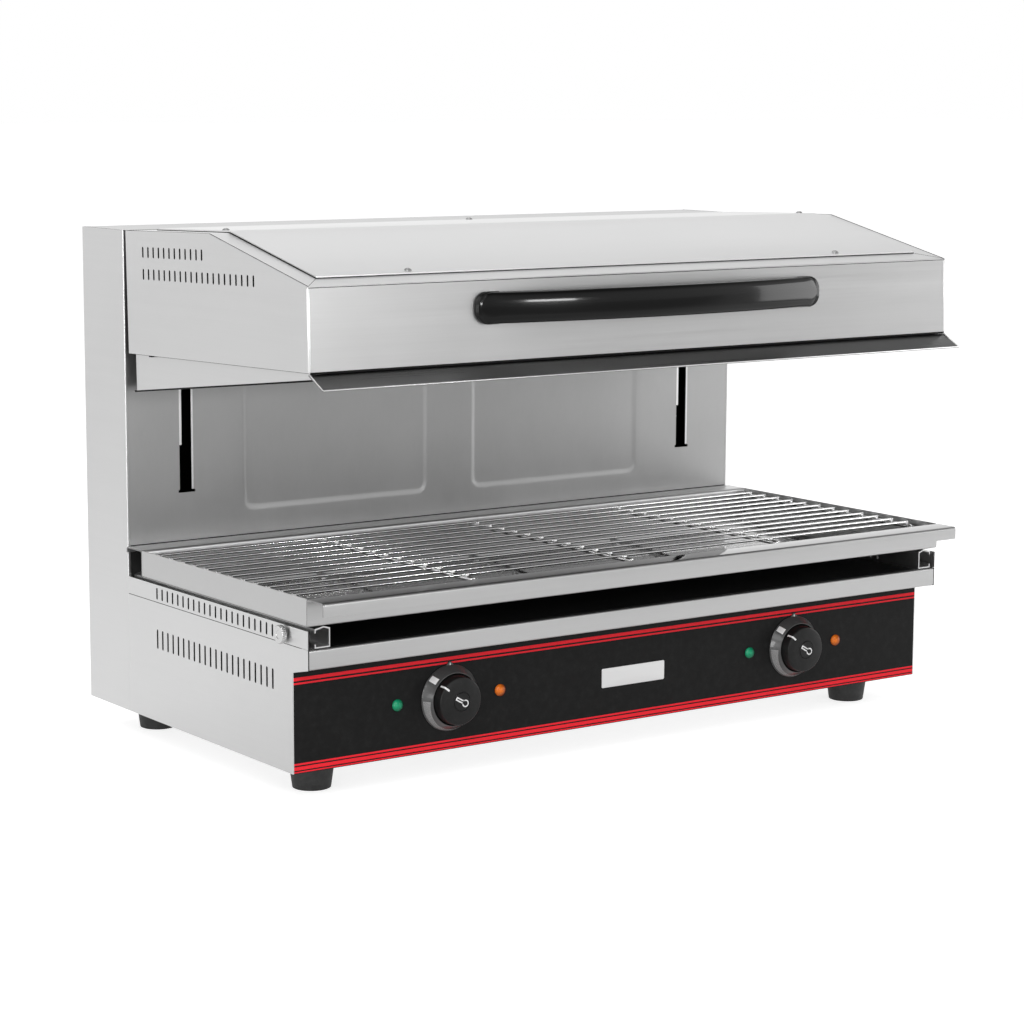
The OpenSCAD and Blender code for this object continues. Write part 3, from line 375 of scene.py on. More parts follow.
def shader_group(name, build, inputs):
    """A node group with named inputs, each of a socket kind, that gives a colour, a roughness and a height."""
    tree = bpy.data.node_groups.new(name, "ShaderNodeTree")
    outputs = {"Color": "Color", "Roughness": "Float", "Height": "Float"}
    for way, sockets in (("INPUT", inputs), ("OUTPUT", outputs)):
        for label, kind in sockets.items():
            tree.interface.new_socket(name=label, in_out=way, socket_type="NodeSocket" + kind)
    graph = Graph(tree)
    result = build(graph, tree.nodes.new("NodeGroupInput").outputs)
    graph.feed(tree.nodes.new("NodeGroupOutput"), dict(zip(outputs, result)))
    return tree


def brushed_build(g, given):
    """Grinding lines: noise stretched along the belt's direction, fine over coarse, and slow cloudy
    patches where the belt pressed harder."""
    place = g.place()
    belt = g.new("VectorMath", place, given["Stretch"], operation="MULTIPLY").outputs[0]
    fine, coarse = g.noise(belt, 1.0, 5.0, 0.7), g.noise(belt, 0.23, 2.0, 0.5)
    cloud = g.noise(place, 7.0, 3.0, 0.55)
    grain = g.add(g.times(fine, 0.65), g.times(coarse, 0.35))
    tone = g.add(g.add(g.swing(grain, given["Contrast"]), g.swing(cloud, given["Cloud"])), 1.0)
    colour = g.feed(g.new("VectorMath", given["Color"], operation="SCALE"), {"Scale": tone}).outputs[0]
    rough = g.add(g.add(given["Roughness"], g.swing(grain, 0.25)), g.swing(cloud, 0.08), clamp=True)
    return colour, rough, grain


def moulded_build(g, given):
    """Moulded or painted skin: a very fine pebble for the height, a slow drift of the gloss, and
    settled dust as a slightly lighter colour."""
    place = g.place()
    pebble, drift = g.noise(place, 900.0, 2.0, 0.5), g.noise(place, 22.0, 4.0, 0.6)
    dust = g.times(g.maths("POWER", g.noise(place, 130.0, 5.0, 0.7), 3.0), given["Dust"], clamp=True)
    colour = g.blend(dust, given["Color"], (0.55, 0.55, 0.55, 1))
    return colour, g.add(given["Roughness"], g.swing(drift, given["Drift"]), clamp=True), pebble


BRUSHED = shader_group("Brushed grain", brushed_build, {
    "Color": "Color", "Stretch": "Vector", "Contrast": "Float", "Cloud": "Float", "Roughness": "Float"})
MOULDED = shader_group("Moulded skin", moulded_build, {
    "Color": "Color", "Roughness": "Float", "Drift": "Float", "Dust": "Float"})
GRAIN_DEPTH, PEBBLE_DEPTH = 0.2 * MM, 0.1 * MM


def new_material(name):
    """A material with one Principled shader on its surface, its graph and the shader."""
    material = bpy.data.materials.new(name)
    material.use_nodes = True
    material.node_tree.nodes.clear()
    graph = Graph(material.node_tree)
    shader = graph.new("BsdfPrincipled")
    graph.new("OutputMaterial", shader.outputs[0])
    return material, graph, shader


def surfaced(name, group, inputs, relief, depth, constants):
    """A material from one of the two groups with its bump, and constants on the shader's own sockets.
    Also its graph, its shader and the group's colour, for what is printed on it."""
    material, graph, shader = new_material(name)
    got = graph.feed(graph.new("Group", node_tree=group), inputs).outputs
    raised = graph.feed(graph.new("Bump"), {"Strength": relief, "Distance": depth, "Height": got["Height"]})
    graph.feed(shader, {"Base Color": got["Color"], "Roughness": got["Roughness"], "Normal": raised.outputs[0],
                        **constants})
    return material, graph, shader, got["Color"]


def steel(name, tone, roughness, stretch, contrast=0.12, cloud=0.05, relief=0.12, warmth=0.0):
    """Ground or rolled stainless sheet."""
    inputs = {"Color": (tone * (1 + warmth), tone, tone * (1 - warmth), 1), "Stretch": stretch,
              "Contrast": contrast, "Cloud": cloud, "Roughness": roughness}
    return surfaced(name, BRUSHED, inputs, relief, GRAIN_DEPTH, {"Metallic": 1.0})[0]


def moulded(name, colour, roughness, drift=0.12, dust=0.05, relief=0.08, coat=0.0, metallic=0.0, specular=0.5):
    """Moulded plastic, rubber, porcelain or paint; its colour is given in full or as one grey."""
    inputs = {"Color": (*np.broadcast_to(colour, 3).tolist(), 1), "Roughness": roughness, "Drift": drift, "Dust": dust}
    constants = {"Metallic": metallic, "Specular IOR Level": specular, "Coat Weight": coat, "Coat Roughness": 0.05}
    return surfaced(name, MOULDED, inputs, relief, PEBBLE_DEPTH, constants)[0]


# Red stripes of the front panel, in mm: height of the middle above the worktop, width
STRIPES = ((121.1, 3.3), (116.9, 1.8), (38.9, 1.9), (34.9, 3.5), (31.3, 1.3))
RED_DEEP, RED_BRIGHT = (0.96, 0.020, 0.034, 1), (1.0, 0.032, 0.050, 1)


def striped_panel(name):
    """Black printed panel with a thick and two thin red stripes along its top and its bottom edge.
    A stripe is where |z - its middle| is under half its width."""
    inputs = {"Color": (0.007, 0.007, 0.007, 1), "Roughness": 0.42, "Drift": 0.08, "Dust": 0.04}
    material, graph, shader, black = surfaced(name, MOULDED, inputs, 0.06, PEBBLE_DEPTH, {"Specular IOR Level": 0.12})
    place = graph.place()
    height = graph.new("SeparateXYZ", place).outputs[2]
    printed = 0.0
    for middle, width in STRIPES:
        off = graph.maths("ABSOLUTE", graph.maths("SUBTRACT", height, middle * MM))
        printed = graph.maths("MAXIMUM", printed, graph.maths("LESS_THAN", off, width / 2 * MM))
    ink = graph.blend(graph.noise(place, 60.0, 3.0), RED_DEEP, RED_BRIGHT)
    graph.feed(shader, {"Base Color": graph.blend(printed, black, ink)})
    return material


def lens(name, deep, bright):
    """Coloured lamp lens with painted light: dark at its rim and brighter in the middle, where it faces the viewer, and
    a faint painted glow.
    """
    material, graph, shader = new_material(name)
    facing = graph.new("LayerWeight", 0.72).outputs["Facing"]
    glow = graph.maths("SUBTRACT", 1.0, facing, clamp=True)
    speck = graph.add(graph.noise(graph.place(), 700.0, 2.0), 0.4)
    mixed = graph.blend(graph.times(glow, speck, clamp=True), (*deep, 1), (*bright, 1))
    graph.feed(shader, {"Base Color": mixed, "Roughness": 0.16, "Specular IOR Level": 0.3, "Emission Color": mixed,
                        "Emission Strength": 0.12})
    return material


def lined(obj, material, chosen):
    """Gives one more material to the faces picked by chosen(centre, normal, area), such as a sheet's inside."""
    mesh = obj.data
    mesh.materials.append(material)
    count = len(mesh.polygons)
    centre, normal, area, index = np.zeros(3 * count), np.zeros(3 * count), np.zeros(count), np.zeros(count, np.int32)
    for key, values in (("center", centre), ("normal", normal), ("area", area), ("material_index", index)):
        mesh.polygons.foreach_get(key, values)
    index[chosen(centre.reshape(-1, 3).T, normal.reshape(-1, 3).T, area)] = len(mesh.materials) - 1
    mesh.polygons.foreach_set("material_index", index)
    return obj


def inward(c, n, a):
    """Faces of a side sheet that look to the middle of the machine."""
    return n[0] * c[0] < -0.2


def slot_walls(c, n, a):
    """The cut walls of a side sheet's slots, told from its long outer edges by their area."""
    return (np.abs(n[0]) < 0.5) & (a < 50 * MM * MM)


def slotted_side(node):
    """A side sheet with painted shade, dark inside and with black slot walls, and narrow rims so that its slots read as
    holes.
    """
    sheet = sheet_from(node, node + "_sheet", steel_side, rim=0.15 * MM)
    lined(sheet, steel_painted_shade, inward)
    return lined(sheet, seam_shade, slot_walls)


ALONG_X, ALONG_Y, ALONG_Z = (7, 650, 650), (650, 7, 650), (650, 650, 7)
# The stainless sheets are one steel in copies whose grain runs along each sheet; their tones are painted light and
# shade: the top lightest, the sides, column and front in between, the back panel, hood and visor darker, and the tray's
# polished floor dark, as painted shade.
steel_front = steel("satin_steel_front", 0.55, 0.34, ALONG_X, 0.16)
steel_side = steel("satin_steel_side", 0.68, 0.36, ALONG_Y, 0.10)
steel_column = steel("satin_steel_column", 0.60, 0.36, ALONG_Z, 0.08)
steel_top = steel("satin_steel_top", 0.80, 0.34, ALONG_X, 0.06)
steel_back = steel("satin_steel_back", 0.42, 0.42, (160, 160, 60), 0.16, 0.22, 0.10)
steel_hood = steel("satin_steel_hood", 0.52, 0.34, ALONG_X, 0.12)
steel_visor = steel("satin_steel_visor", 0.30, 0.30, ALONG_X, 0.12)
# Painted highlight: a near-white copy of the steel for bright edges and corners.
steel_painted_highlight = steel("painted_highlight_steel", 0.97, 0.34, ALONG_Z, 0.04)
steel_tray = steel("bright_steel_tray", 0.26, 0.06, ALONG_X, 0.05, 0.04, 0.01)
steel_tray_edge = steel("satin_steel_tray_edge", 0.55, 0.32, ALONG_X, 0.12)
steel_plain = steel("mill_steel", 0.45, 0.45, (90, 90, 90), 0.12, 0.15)
# Painted highlight: a bright copy of the steel for the slot folds and strips and the tray's rear wall.
steel_fold_highlight = steel("painted_highlight_fold", 0.85, 0.40, ALONG_Z, 0.05)
# Painted shade: a near-black copy of the steel for faces that look inwards or lie in shadow.
steel_painted_shade = steel("painted_shade_steel", 0.05, 0.55, (90, 90, 90), 0.12, 0.15)
# Painted shade: near-black for slot walls and the dark lines at joints.
seam_shade = moulded("seam_shadow", 0.010, 0.7, specular=0.1)
wire_chrome = steel("bright_wire", 0.93, 0.19, (300, 300, 300), 0.04, 0.05, 0.02)
weld_bright = steel("bright_weld", 0.97, 0.34, (300, 300, 300), 0.04, 0.05, 0.02)
thumb_nickel = steel("nickel_plate", 0.66, 0.22, (260, 260, 260), 0.05, 0.05, 0.02)
zinc = steel("zinc_plate", 0.42, 0.38, (220, 220, 220), 0.15, 0.1, 0.05)
ground_rod = steel("ground_rod", 0.60, 0.15, ALONG_X, 0.05)
brass = steel("turned_brass", 0.50, 0.28, ALONG_X, 0.1, 0.1, 0.08, warmth=0.35)
copper = steel("drawn_copper", 0.38, 0.30, ALONG_X, 0.1, 0.1, 0.08, warmth=0.5)
sheath = steel("heat_tinted_sheath", 0.12, 0.48, (120, 120, 120), 0.25, 0.3, 0.15, warmth=0.12)
plate_paint = moulded("grey_plate", (0.18, 0.19, 0.21), 0.45, metallic=0.4)
black_paint_and_shade = moulded("black_paint_and_painted_shade", 0.012, 0.55)
panel_print = striped_panel("black_panel_red_stripes")
knob_black = moulded("knob_black", 0.006, 0.36, relief=0.10, specular=0.26)
ring_black = moulded("ring_black", 0.060, 0.30, relief=0.03, coat=0.4)
mark_white = moulded("print_white", 0.88, 0.45, dust=0.0)
mark_grey = moulded("print_grey", 0.42, 0.45, dust=0.0)
badge_face = steel("badge_face", 0.76, 0.40, ALONG_X, 0.05, 0.03, 0.03)
handle_gloss = moulded("handle_black_gloss", 0.002, 0.13, 0.02, 0.0, 0.01, coat=0.20, specular=0.20)
foot_rubber = moulded("foot_rubber", 0.016, 0.55, dust=0.12, relief=0.2)
nylon = moulded("gland_nylon", 0.02, 0.5)
phenolic = moulded("phenolic_case", (0.23, 0.14, 0.07), 0.5)
porcelain = moulded("glazed_porcelain", (0.72, 0.69, 0.60), 0.18, coat=0.5)
fibre = moulded("ceramic_fibre", (0.66, 0.62, 0.52), 0.95, relief=0.6)
lens_green = lens("lens_green", (0.0, 0.030, 0.014), (0.01, 0.36, 0.17))
lens_amber = lens("lens_amber", (0.12, 0.014, 0.0), (0.95, 0.22, 0.02))

# --- base

half_sheet = SHEET / 2
for node in ("base_left_side", "base_right_side"):
    slotted_side(node)

# Top of the base: from the column forwards, down over the lip and back under it to the panel
LIP_HEIGHT = 19.3 * MM
top_line = rounded([(COLUMN_FACE, BASE_TOP - half_sheet), (LIP_FACE + half_sheet, BASE_TOP - half_sheet),
                    (LIP_FACE + half_sheet, BASE_TOP - LIP_HEIGHT + half_sheet),
                    (PANEL_FACE + 1.5 * MM, top_low.z + 0.7 * MM)], 1.8 * MM)
# A point 6 mm behind the lip splits the top, so that the painted shade can start behind the lip.
top_line = np.insert(top_line, 1, (LIP_FACE + 6 * MM, BASE_TOP - half_sheet), axis=0)
top_sheet = piece("base_top_sheet", folded_sheet(top_line, SHEET, -HALF_WIDTH + SHEET, HALF_WIDTH - SHEET), "base",
                  "stainless_satin", steel_front, ["base_top_plate"])
# Painted shade: the top's faces behind the lip, under the tray, are in the near-black steel.
lined(top_sheet, steel_painted_shade, lambda c, n, a: (np.abs(n[2]) > 0.9) & (c[1] > LIP_FACE + 8 * MM))

sheet_from("control_panel", "front_panel_print", panel_print, rim=0.3 * MM)

badge_low, badge_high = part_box("badge_plate")
badge_middle = (badge_low + badge_high) / 2
badge_half = (badge_high - badge_low) / 2


def on_panel(points):
    """Plane x, y and height above the control panel, stood up on the panel's face."""
    return np.stack([points[:, 0], PANEL_FACE - points[:, 2], points[:, 1]], -1)


badge = pillow_plate(stadium(badge_half.x, badge_half.z, 1.5 * MM) + (badge_middle.x, badge_middle.z),
                     mm([0, 0.55, 0.75, 0.8]), mm([0, 0, 0.12, 0.4]))
piece("badge_blank", moved(badge, on_panel), "base", "badge_metal", badge_face, ["badge_plate"])

# --- column

COLUMN_BEND, COLUMN_FLANGE = 2.4 * MM, 3.6 * MM
for side, sign in SIDES:
    edge = sign * (HALF_WIDTH - half_sheet)
    line = rounded([(edge, COLUMN_REAR), (edge, COLUMN_FACE + half_sheet),
                    (edge + sign * (half_sheet - COLUMN_FLANGE), COLUMN_FACE + half_sheet)], COLUMN_BEND, 9)
    channel = piece(f"column_{side}_channel", folded_sheet(line, SHEET, column_low.z, column_high.z, "z"), "base",
                    "stainless_satin", steel_side, [f"column_{side}_side"])
    # Painted shade on the channel's inward faces; its front flange is in the back panel's darker tone.
    lined(channel, steel_painted_shade, inward)
    lined(channel, steel_back, lambda c, n, a: n[1] < -0.97)


def rounded_box_depth(x, z, low, high, radius):
    """Distance inside (+) or outside (-) a rectangle with round corners: with q = max(low - p, p - high) + r,
    -(length of max(q, 0) + min(greater of q, 0) - r)."""
    qx, qz = (np.maximum(a - p, p - b) + radius for p, a, b in zip((x, z), low, high))
    return radius - np.hypot(np.maximum(qx, 0), np.maximum(qz, 0)) - np.minimum(np.maximum(qx, qz), 0)


def smooth(t):
    """The smooth step 3t^2 - 2t^3 of t kept between 0 and 1."""
    t = np.clip(t, 0, 1)
    return t * t * (3 - 2 * t)


def spread(spacing, *stops):
    """Numbers from the least stop to the greatest, through every stop, no further apart than the spacing."""
    stops = np.unique(np.round(np.concatenate(stops), 7))
    parts = [np.linspace(a, b, max(2, int(math.ceil((b - a) / spacing)) + 1))[:-1] for a, b in zip(stops, stops[1:])]
    return np.concatenate([*parts, stops[-1:]])


# Front of the column: a sheet with two shallow pressed panels and two lift slots with a wide foot
SLOT_X, SLOT_HALF, SLOT_HIGH, SLOT_FOLD = mm([330, 8.2, 481.4, 4.5])
FOOT_HALF, FOOT_RISE, STRIP_WIDTH, LIP_WIDTH, GRID = mm([9.8, 3, 2.8, 2.2, 9])
SLOT_LOW = back_low.z + 50 * MM
STRIP_LOW = SLOT_LOW + 50 * MM
PRESS_IN, PRESS_OUT, PRESS_DEPTH, PRESS_RADIUS = mm([30, 262, 0.9, 12])
PRESS_LOW, PRESS_HIGH = back_low.z + 25.5 * MM, HEAD_Z + 84 * MM
bars_x = [SLOT_X + s * w for s in (-1, 1) for w in (SLOT_HALF, FOOT_HALF)]
press_steps = mm([-1.5, 0, 1.5, 3, 4.5, 6, 8, 12])
xs = spread(GRID, [0, HALF_WIDTH - COLUMN_FLANGE - 0.1 * MM], bars_x, PRESS_IN + press_steps, PRESS_OUT - press_steps)
xs = np.concatenate([-xs[:0:-1], xs])
zs = spread(GRID, [back_low.z, SLOT_LOW, SLOT_LOW + FOOT_RISE, SLOT_HIGH, back_high.z], PRESS_LOW + press_steps,
            PRESS_HIGH - press_steps)
X, Z = np.meshgrid(xs, zs, indexing="ij")
inside = rounded_box_depth(np.abs(X), Z, (PRESS_IN, PRESS_LOW), (PRESS_OUT, PRESS_HIGH), PRESS_RADIUS)
Y = COLUMN_FACE + PRESS_DEPTH * smooth((inside / MM + 1.0) / 6.5)
points, faces = patch(np.stack([X, Y, Z], -1), wrap=False)
middle = points[faces].mean(1)
mx, mz = np.abs(np.abs(middle[:, 0]) - SLOT_X), middle[:, 2]
in_slot = (mz > SLOT_LOW) & (mz < SLOT_HIGH) & (mx < np.where(mz < SLOT_LOW + FOOT_RISE, FOOT_HALF, SLOT_HALF))
back_sheet = piece("back_sheet", (points, faces[~in_slot]), "base", "stainless_satin", steel_back, ["back_panel"])
mesh = back_sheet.data
# Painted shade on the sheet's back face.
mesh.materials.append(steel_painted_shade)
if mesh.polygons[0].normal.y > 0:
    mesh.flip_normals()
# Cut edges are sharp, so that the shading stays flat up to them
edge_of_loop, sharp = np.zeros(len(mesh.loops), np.int32), np.zeros(len(mesh.edges), bool)
mesh.loops.foreach_get("edge_index", edge_of_loop)
mesh.edges.foreach_get("use_edge_sharp", sharp)
sharp |= np.bincount(edge_of_loop, minlength=len(sharp)) == 1
mesh.edges.foreach_set("use_edge_sharp", sharp)
with_values(back_sheet.modifiers.new("Sheet", "SOLIDIFY"), thickness=SHEET, offset=-1, material_offset=1,
            material_offset_rim=0)


def slot_edges(x):
    """The sheet folded back along both sides of a lift slot, the strip on its left above the foot, and
    the narrow lip down its right side, all in bright steel as painted highlight."""
    folds = [box_shell((x + s, COLUMN_FACE + 0.2 * MM, SLOT_LOW + FOOT_RISE),
                       (x + s + SHEET, COLUMN_FACE + SLOT_FOLD, SLOT_HIGH)) for s in (-SLOT_HALF - SHEET, SLOT_HALF)]
    strips = [box_shell((x + x0, COLUMN_FACE, low), (x + x1, COLUMN_FACE + SHEET, SLOT_HIGH))
              for x0, x1, low in ((-SLOT_HALF, -SLOT_HALF + STRIP_WIDTH, STRIP_LOW),
                                  (SLOT_HALF - LIP_WIDTH, SLOT_HALF, SLOT_LOW + FOOT_RISE))]
    return joined(*folds, *strips)


# The folds and strips are in the bright steel, as painted highlight.
piece("slot_folds", joined(slot_edges(-SLOT_X), slot_edges(SLOT_X)), "base", "stainless_satin", steel_fold_highlight,
      rim=0.25 * MM)

# Painted shade on the back cover's inner faces and cut walls.
lined(sheet_from("column_back_cover", "column_back", steel_column), steel_painted_shade,
      lambda c, n, a: (n[1] < -0.5) | (n[2] < -0.5) | (np.abs(n[0]) > 0.3) & (a < 60 * MM * MM))
# The cross member is black, as painted shade for the dark space below the back panel.
covered(NODES["rear_cross_member"], black_paint_and_shade)

# --- rails, runners and thumb screws

# Painted shade on the walls of the rail slots.
lined(sheet_from("slotted_rails", "rails_slotted", steel_side), steel_painted_shade,
      lambda c, n, a: (np.abs(n[0]) < 0.5) & (a < 30 * MM * MM))
sheet_from("tray_runners", "runners_slotted", steel_side, rim=0.3 * MM)


THUMB_R, THUMB_REACH, KNURLS, KNURL_DEPTH = 9.0, 6.6, 24, 0.7 * MM


def thumb_profile(reach):
    """Half section of a thumb screw along its axis: shank, stand-off and a head with rounded edges."""
    return mm([(0, -8), (2.4, -8), (2.5, -7.5), (2.5, 1.6), (6.4, 1.6), (7.8, 2.0), (THUMB_R, 2.6),
               (THUMB_R, reach - 0.8), (THUMB_R - 0.8, reach), (4.2, reach), (3.8, reach - 0.4), (0, reach - 0.4)])


def knurled(shell, centre, radius, count, depth):
    """Points past 0.93 of the radius drawn in by depth (1 - |sin(count t / 2)|) about the X axis."""
    p = shell[0].copy()
    y, z = p[:, 1] - centre[1], p[:, 2] - centre[2]
    r, t = np.hypot(y, z), np.arctan2(z, y)
    cut = np.where(r > 0.93 * radius, depth * (1 - np.abs(np.sin(count * t / 2))), 0)
    p[:, 1], p[:, 2] = centre[1] + (r - cut) * np.cos(t), centre[2] + (r - cut) * np.sin(t)
    return p, shell[1]


for side, sign in SIDES:
    low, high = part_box(f"{side}_thumb_screw")
    centre = (sign * HALF_WIDTH, (low.y + high.y) / 2, (low.z + high.z) / 2)
    head = lathe(thumb_profile(THUMB_REACH), centre, (sign, 0, 0), 120)
    head = knurled(head, centre, THUMB_R * MM, KNURLS, KNURL_DEPTH)
    piece(f"{side}_thumb_head", head, f"{side}_thumb", "thumb_steel", thumb_nickel, [f"{side}_thumb_screw"], crease=40)

# --- drip tray and rack

TRAY_HALF, TRAY_TOP, TRAY_FLOOR = tray_high.x, tray_high.z, tray_low.z
TRAY_FRONT, TRAY_REAR = -211.8 * MM, 112.7 * MM
wall_y = TRAY_FRONT + half_sheet, TRAY_REAR - half_sheet
lip_y = tray_low.y + half_sheet, tray_high.y - half_sheet
rim_z, floor_z = TRAY_TOP - half_sheet, TRAY_FLOOR + half_sheet
tray_line = rounded([(lip_y[1], TRAY_TOP - 6 * MM), (lip_y[1], rim_z), (wall_y[1], rim_z), (wall_y[1], floor_z),
                     (wall_y[0], floor_z), (wall_y[0], rim_z), (lip_y[0], rim_z), (lip_y[0], TRAY_TOP - 13 * MM)],
                    2.6 * MM)
pan = piece("tray_pan", folded_sheet(tray_line, SHEET, -TRAY_HALF, TRAY_HALF), "tray", "stainless_bright", steel_tray,
            ["drip_tray"])
# Painted light on the pan: its polished floor darkened as painted shade, its front faces in a lighter steel and its
# rear wall and flange bright.
lined(pan, steel_tray_edge, lambda c, n, a: (n[1] < -0.3) & (c[1] < TRAY_FRONT + 5 * MM))
lined(pan, steel_fold_highlight, lambda c, n, a: ((n[1] < -0.3) | (n[2] > 0.9)) & (c[1] > TRAY_REAR - 4 * MM))
# The pan's side walls are in the lighter steel, as painted light.
for side, sign in SIDES:
    wall = sorted([sign * TRAY_HALF, sign * (TRAY_HALF - SHEET)])
    piece(f"tray_{side}_wall", box_shell((wall[0], TRAY_FRONT + SHEET, TRAY_FLOOR + SHEET),
                                         (wall[1], TRAY_REAR - SHEET, TRAY_TOP)), "tray", "stainless_bright",
          steel_tray_edge, rim=0.3 * MM)

WIRES, (PITCH, WIRE_R, CROSS_R) = 12, mm([24, 1.5, 2.5])
rack_y = (rack_low.y + rack_high.y) / 2
wire_y = rack_y + (np.arange(WIRES) - (WIRES - 1) / 2) * PITCH
wire_z = rack_high.z - WIRE_R
cross_z = wire_z - 3.8 * MM
cross_x = np.array([-1, -0.5, 0, 0.5, 1]) * (rack_high.x - CROSS_R)
wires = [tube([(rack_low.x, y, wire_z), (0, y, wire_z), (rack_high.x, y, wire_z)], WIRE_R, 12) for y in wire_y]
crossing = [tube([(x, rack_low.y, cross_z), (x, 0, cross_z), (x, rack_high.y, cross_z)], CROSS_R, 16)
            for x in cross_x[1:4]]
leg_front, leg_rear = rack_low.y + CROSS_R, rack_high.y - CROSS_R
legs = rounded([(leg_front, rack_low.z), (leg_front, cross_z), (leg_rear, cross_z), (leg_rear, rack_low.z)], 4 * MM)
crossing += [tube(np.insert(legs, 0, x, axis=1), CROSS_R, 16) for x in (cross_x[0], cross_x[4])]
bead = mm([(0, -1.5), (1.9, -1.0), (2.5, 0.2), (2.0, 1.6), (1.2, 2.5), (0, 2.9)])
beads = [lathe(bead, (x, y, wire_z - WIRE_R), (0, 0, 1), 10) for x in cross_x for y in wire_y]
piece("rack_wires", joined(*wires, *crossing), "rack", "rack_wire", wire_chrome, ["wire_rack"], crease=50)
piece("rack_welds", joined(*beads), "rack", "rack_wire", weld_bright, crease=70)

# --- head

for node in ("head_left_side", "head_right_side"):
    slotted_side(node)
# The head's back plate is in the near-black steel, as painted shade.
for node, name, material, rim in (
    ("head_front_panel", "head_front_sheet", steel_front, 0.6), ("head_top_frame", "head_border", steel_top, 0.5),
    ("head_top_cover", "head_cover", steel_top, 0.9), ("head_rear_plate", "head_back", steel_painted_shade, 0.35),
    ("front_visor", "visor_sheet", steel_visor, 0.4), ("heater_side_skirts", "heater_sides", steel_side, 0.35),
    ("heater_rear_skirt", "heater_back", steel_hood, 0.35), ("heater_front_skirt", "heater_front", steel_hood, 0.35),
    ("side_clips", "clips_black", knob_black, 0.35),
):
    sheet_from(node, name, material, rim * MM)

# Bow handle, drawn from the head's front face: x along it, d out from it, z up from its middle
HANDLE_Z, FRONT = 51.5 * MM, -HEAD_DEPTH
BOW_END, BOW_OUT, BOW_PAD, BOW_HALF, BOW_CORNER = mm([211.5, 36, 6, 15.25, 12.75])
BOW_POWER = 3.2
GAP_END, GAP_OUT = 189.5 * MM, 23 * MM
PAD_IN, PAD_OUT, PAD_HALF, PAD_ROUND, PAD_CORNER = mm([189.7, 215.5, 15.75, 13.25, 1])


def arc_depth(x, end, rise, top):
    """Depth of an arc over x: top at the middle, top - rise at the end; circle radius (end^2 + rise^2) / 2 rise."""
    radius = (end * end + rise * rise) / (2 * rise)
    return top - radius + np.sqrt(radius * radius - x * x)


def bow_handle():
    """Each section across the bow is a superellipse of power 3.2 between the inner and the outer arc, as
    high as the grip; towards an end its height follows a quarter circle."""
    x = BOW_END * np.sin(np.linspace(-math.pi / 2, math.pi / 2, 121))
    outer = arc_depth(x, BOW_END, BOW_OUT - BOW_PAD, BOW_OUT)
    inner = np.maximum(arc_depth(x, GAP_END, GAP_OUT, GAP_OUT), 0)
    past = np.clip(np.abs(x) - (BOW_END - BOW_CORNER), 0, BOW_CORNER)
    half = BOW_HALF - BOW_CORNER + np.sqrt(BOW_CORNER**2 - past**2)
    t = np.linspace(0, 2 * math.pi, 48, endpoint=False)
    c, s = np.cos(t), np.sin(t)
    out = np.sign(c) * np.abs(c) ** (2 / BOW_POWER)
    up = np.sign(s) * np.abs(s) ** (2 / BOW_POWER)
    d = (outer + inner)[:, None] / 2 + (outer - inner)[:, None] / 2 * out
    z = half[:, None] * up
    grid = np.stack([np.broadcast_to(x[:, None], d.shape), FRONT - d, HANDLE_Z + z], -1)
    ends = [grid[i].copy() for i in (0, -1)]
    for end in ends:
        end[:, 1:] = end[:, 1:].mean(0)
    return patch(np.concatenate([ends[:1], grid, ends[1:]]))


def end_pad(sign):
    """Flat foot under one end of the bow: a stadium-ended plate with a rounded rim."""
    far, near = PAD_OUT - PAD_ROUND, PAD_IN + PAD_CORNER
    line = np.concatenate([arc((far, PAD_ROUND - PAD_HALF), PAD_ROUND, -90, 0, 12),
                           arc((far, PAD_HALF - PAD_ROUND), PAD_ROUND, 0, 90, 12),
                           arc((near, PAD_HALF - PAD_CORNER), PAD_CORNER, 90, 180, 4),
                           arc((near, PAD_CORNER - PAD_HALF), PAD_CORNER, 180, 270, 4)])
    points, faces = pillow_plate(line, mm([0, 4.6, 5.6, 6.0]), mm([0, 0, 0.5, 1.6]))
    return np.stack([sign * points[:, 0], FRONT - points[:, 2], HANDLE_Z + points[:, 1]], -1), faces


handle_shell = joined(bow_handle(), end_pad(-1), end_pad(1))
piece("bow_handle", moved(handle_shell, in_head), "head", "handle_black", handle_gloss, ["handle"], crease=50)

# --- dials and lamps

DIAL_X, DIAL_Z, LAMP_X = mm([222, 82, 60.5])
DIALS = (-DIAL_X, DIAL_X)
KNOB_TURN = math.radians(50)
OUT = (0, -1, 0)


def dial_place(x):
    """The point on the panel's face where a dial's or lamp's axis leaves it."""
    return (x, PANEL_FACE, DIAL_Z)


ring_profile = mm([(25.8, 0), (32.7, 0), (33, 0.3), (33, 1.1), (32.6, 1.5), (27.1, 10.3), (26.7, 10.9),
                   (26.2, 11), (25.9, 10.8), (25.8, 10.4), (25.8, 0)])


def lug(x):
    """The ring's top tick: a small wedge on the panel, 9 mm wide at the ring and 2 mm at its tip."""
    line = mm([(-4.5, 32.4), (4.5, 32.4), (1.0, 36.2), (-1.0, 36.2)]) + (x, DIAL_Z)
    return moved(pillow_plate(line, mm([0, 1.1, 1.5]), mm([0, 0, 0.3])), on_panel)


rings = [shell for x in DIALS for shell in (lathe(ring_profile, dial_place(x), OUT, 96), lug(x))]
piece("rings_black", joined(*rings), "base", "ring_plastic", ring_black, ["dial_rings"])

knob_profile = mm([(0, 2), (24.6, 2), (25, 2.5), (25, 7.4), (24.9, 8), (24, 19.4), (23.6, 20.1), (22.9, 20.5),
                   (22.2, 20.7), (15, 21.5), (9.7, 22), (9.3, 21.6), (9.0, 21.7), (8.95, 22.3), (8.6, 22.7),
                   (0, 22.8)])


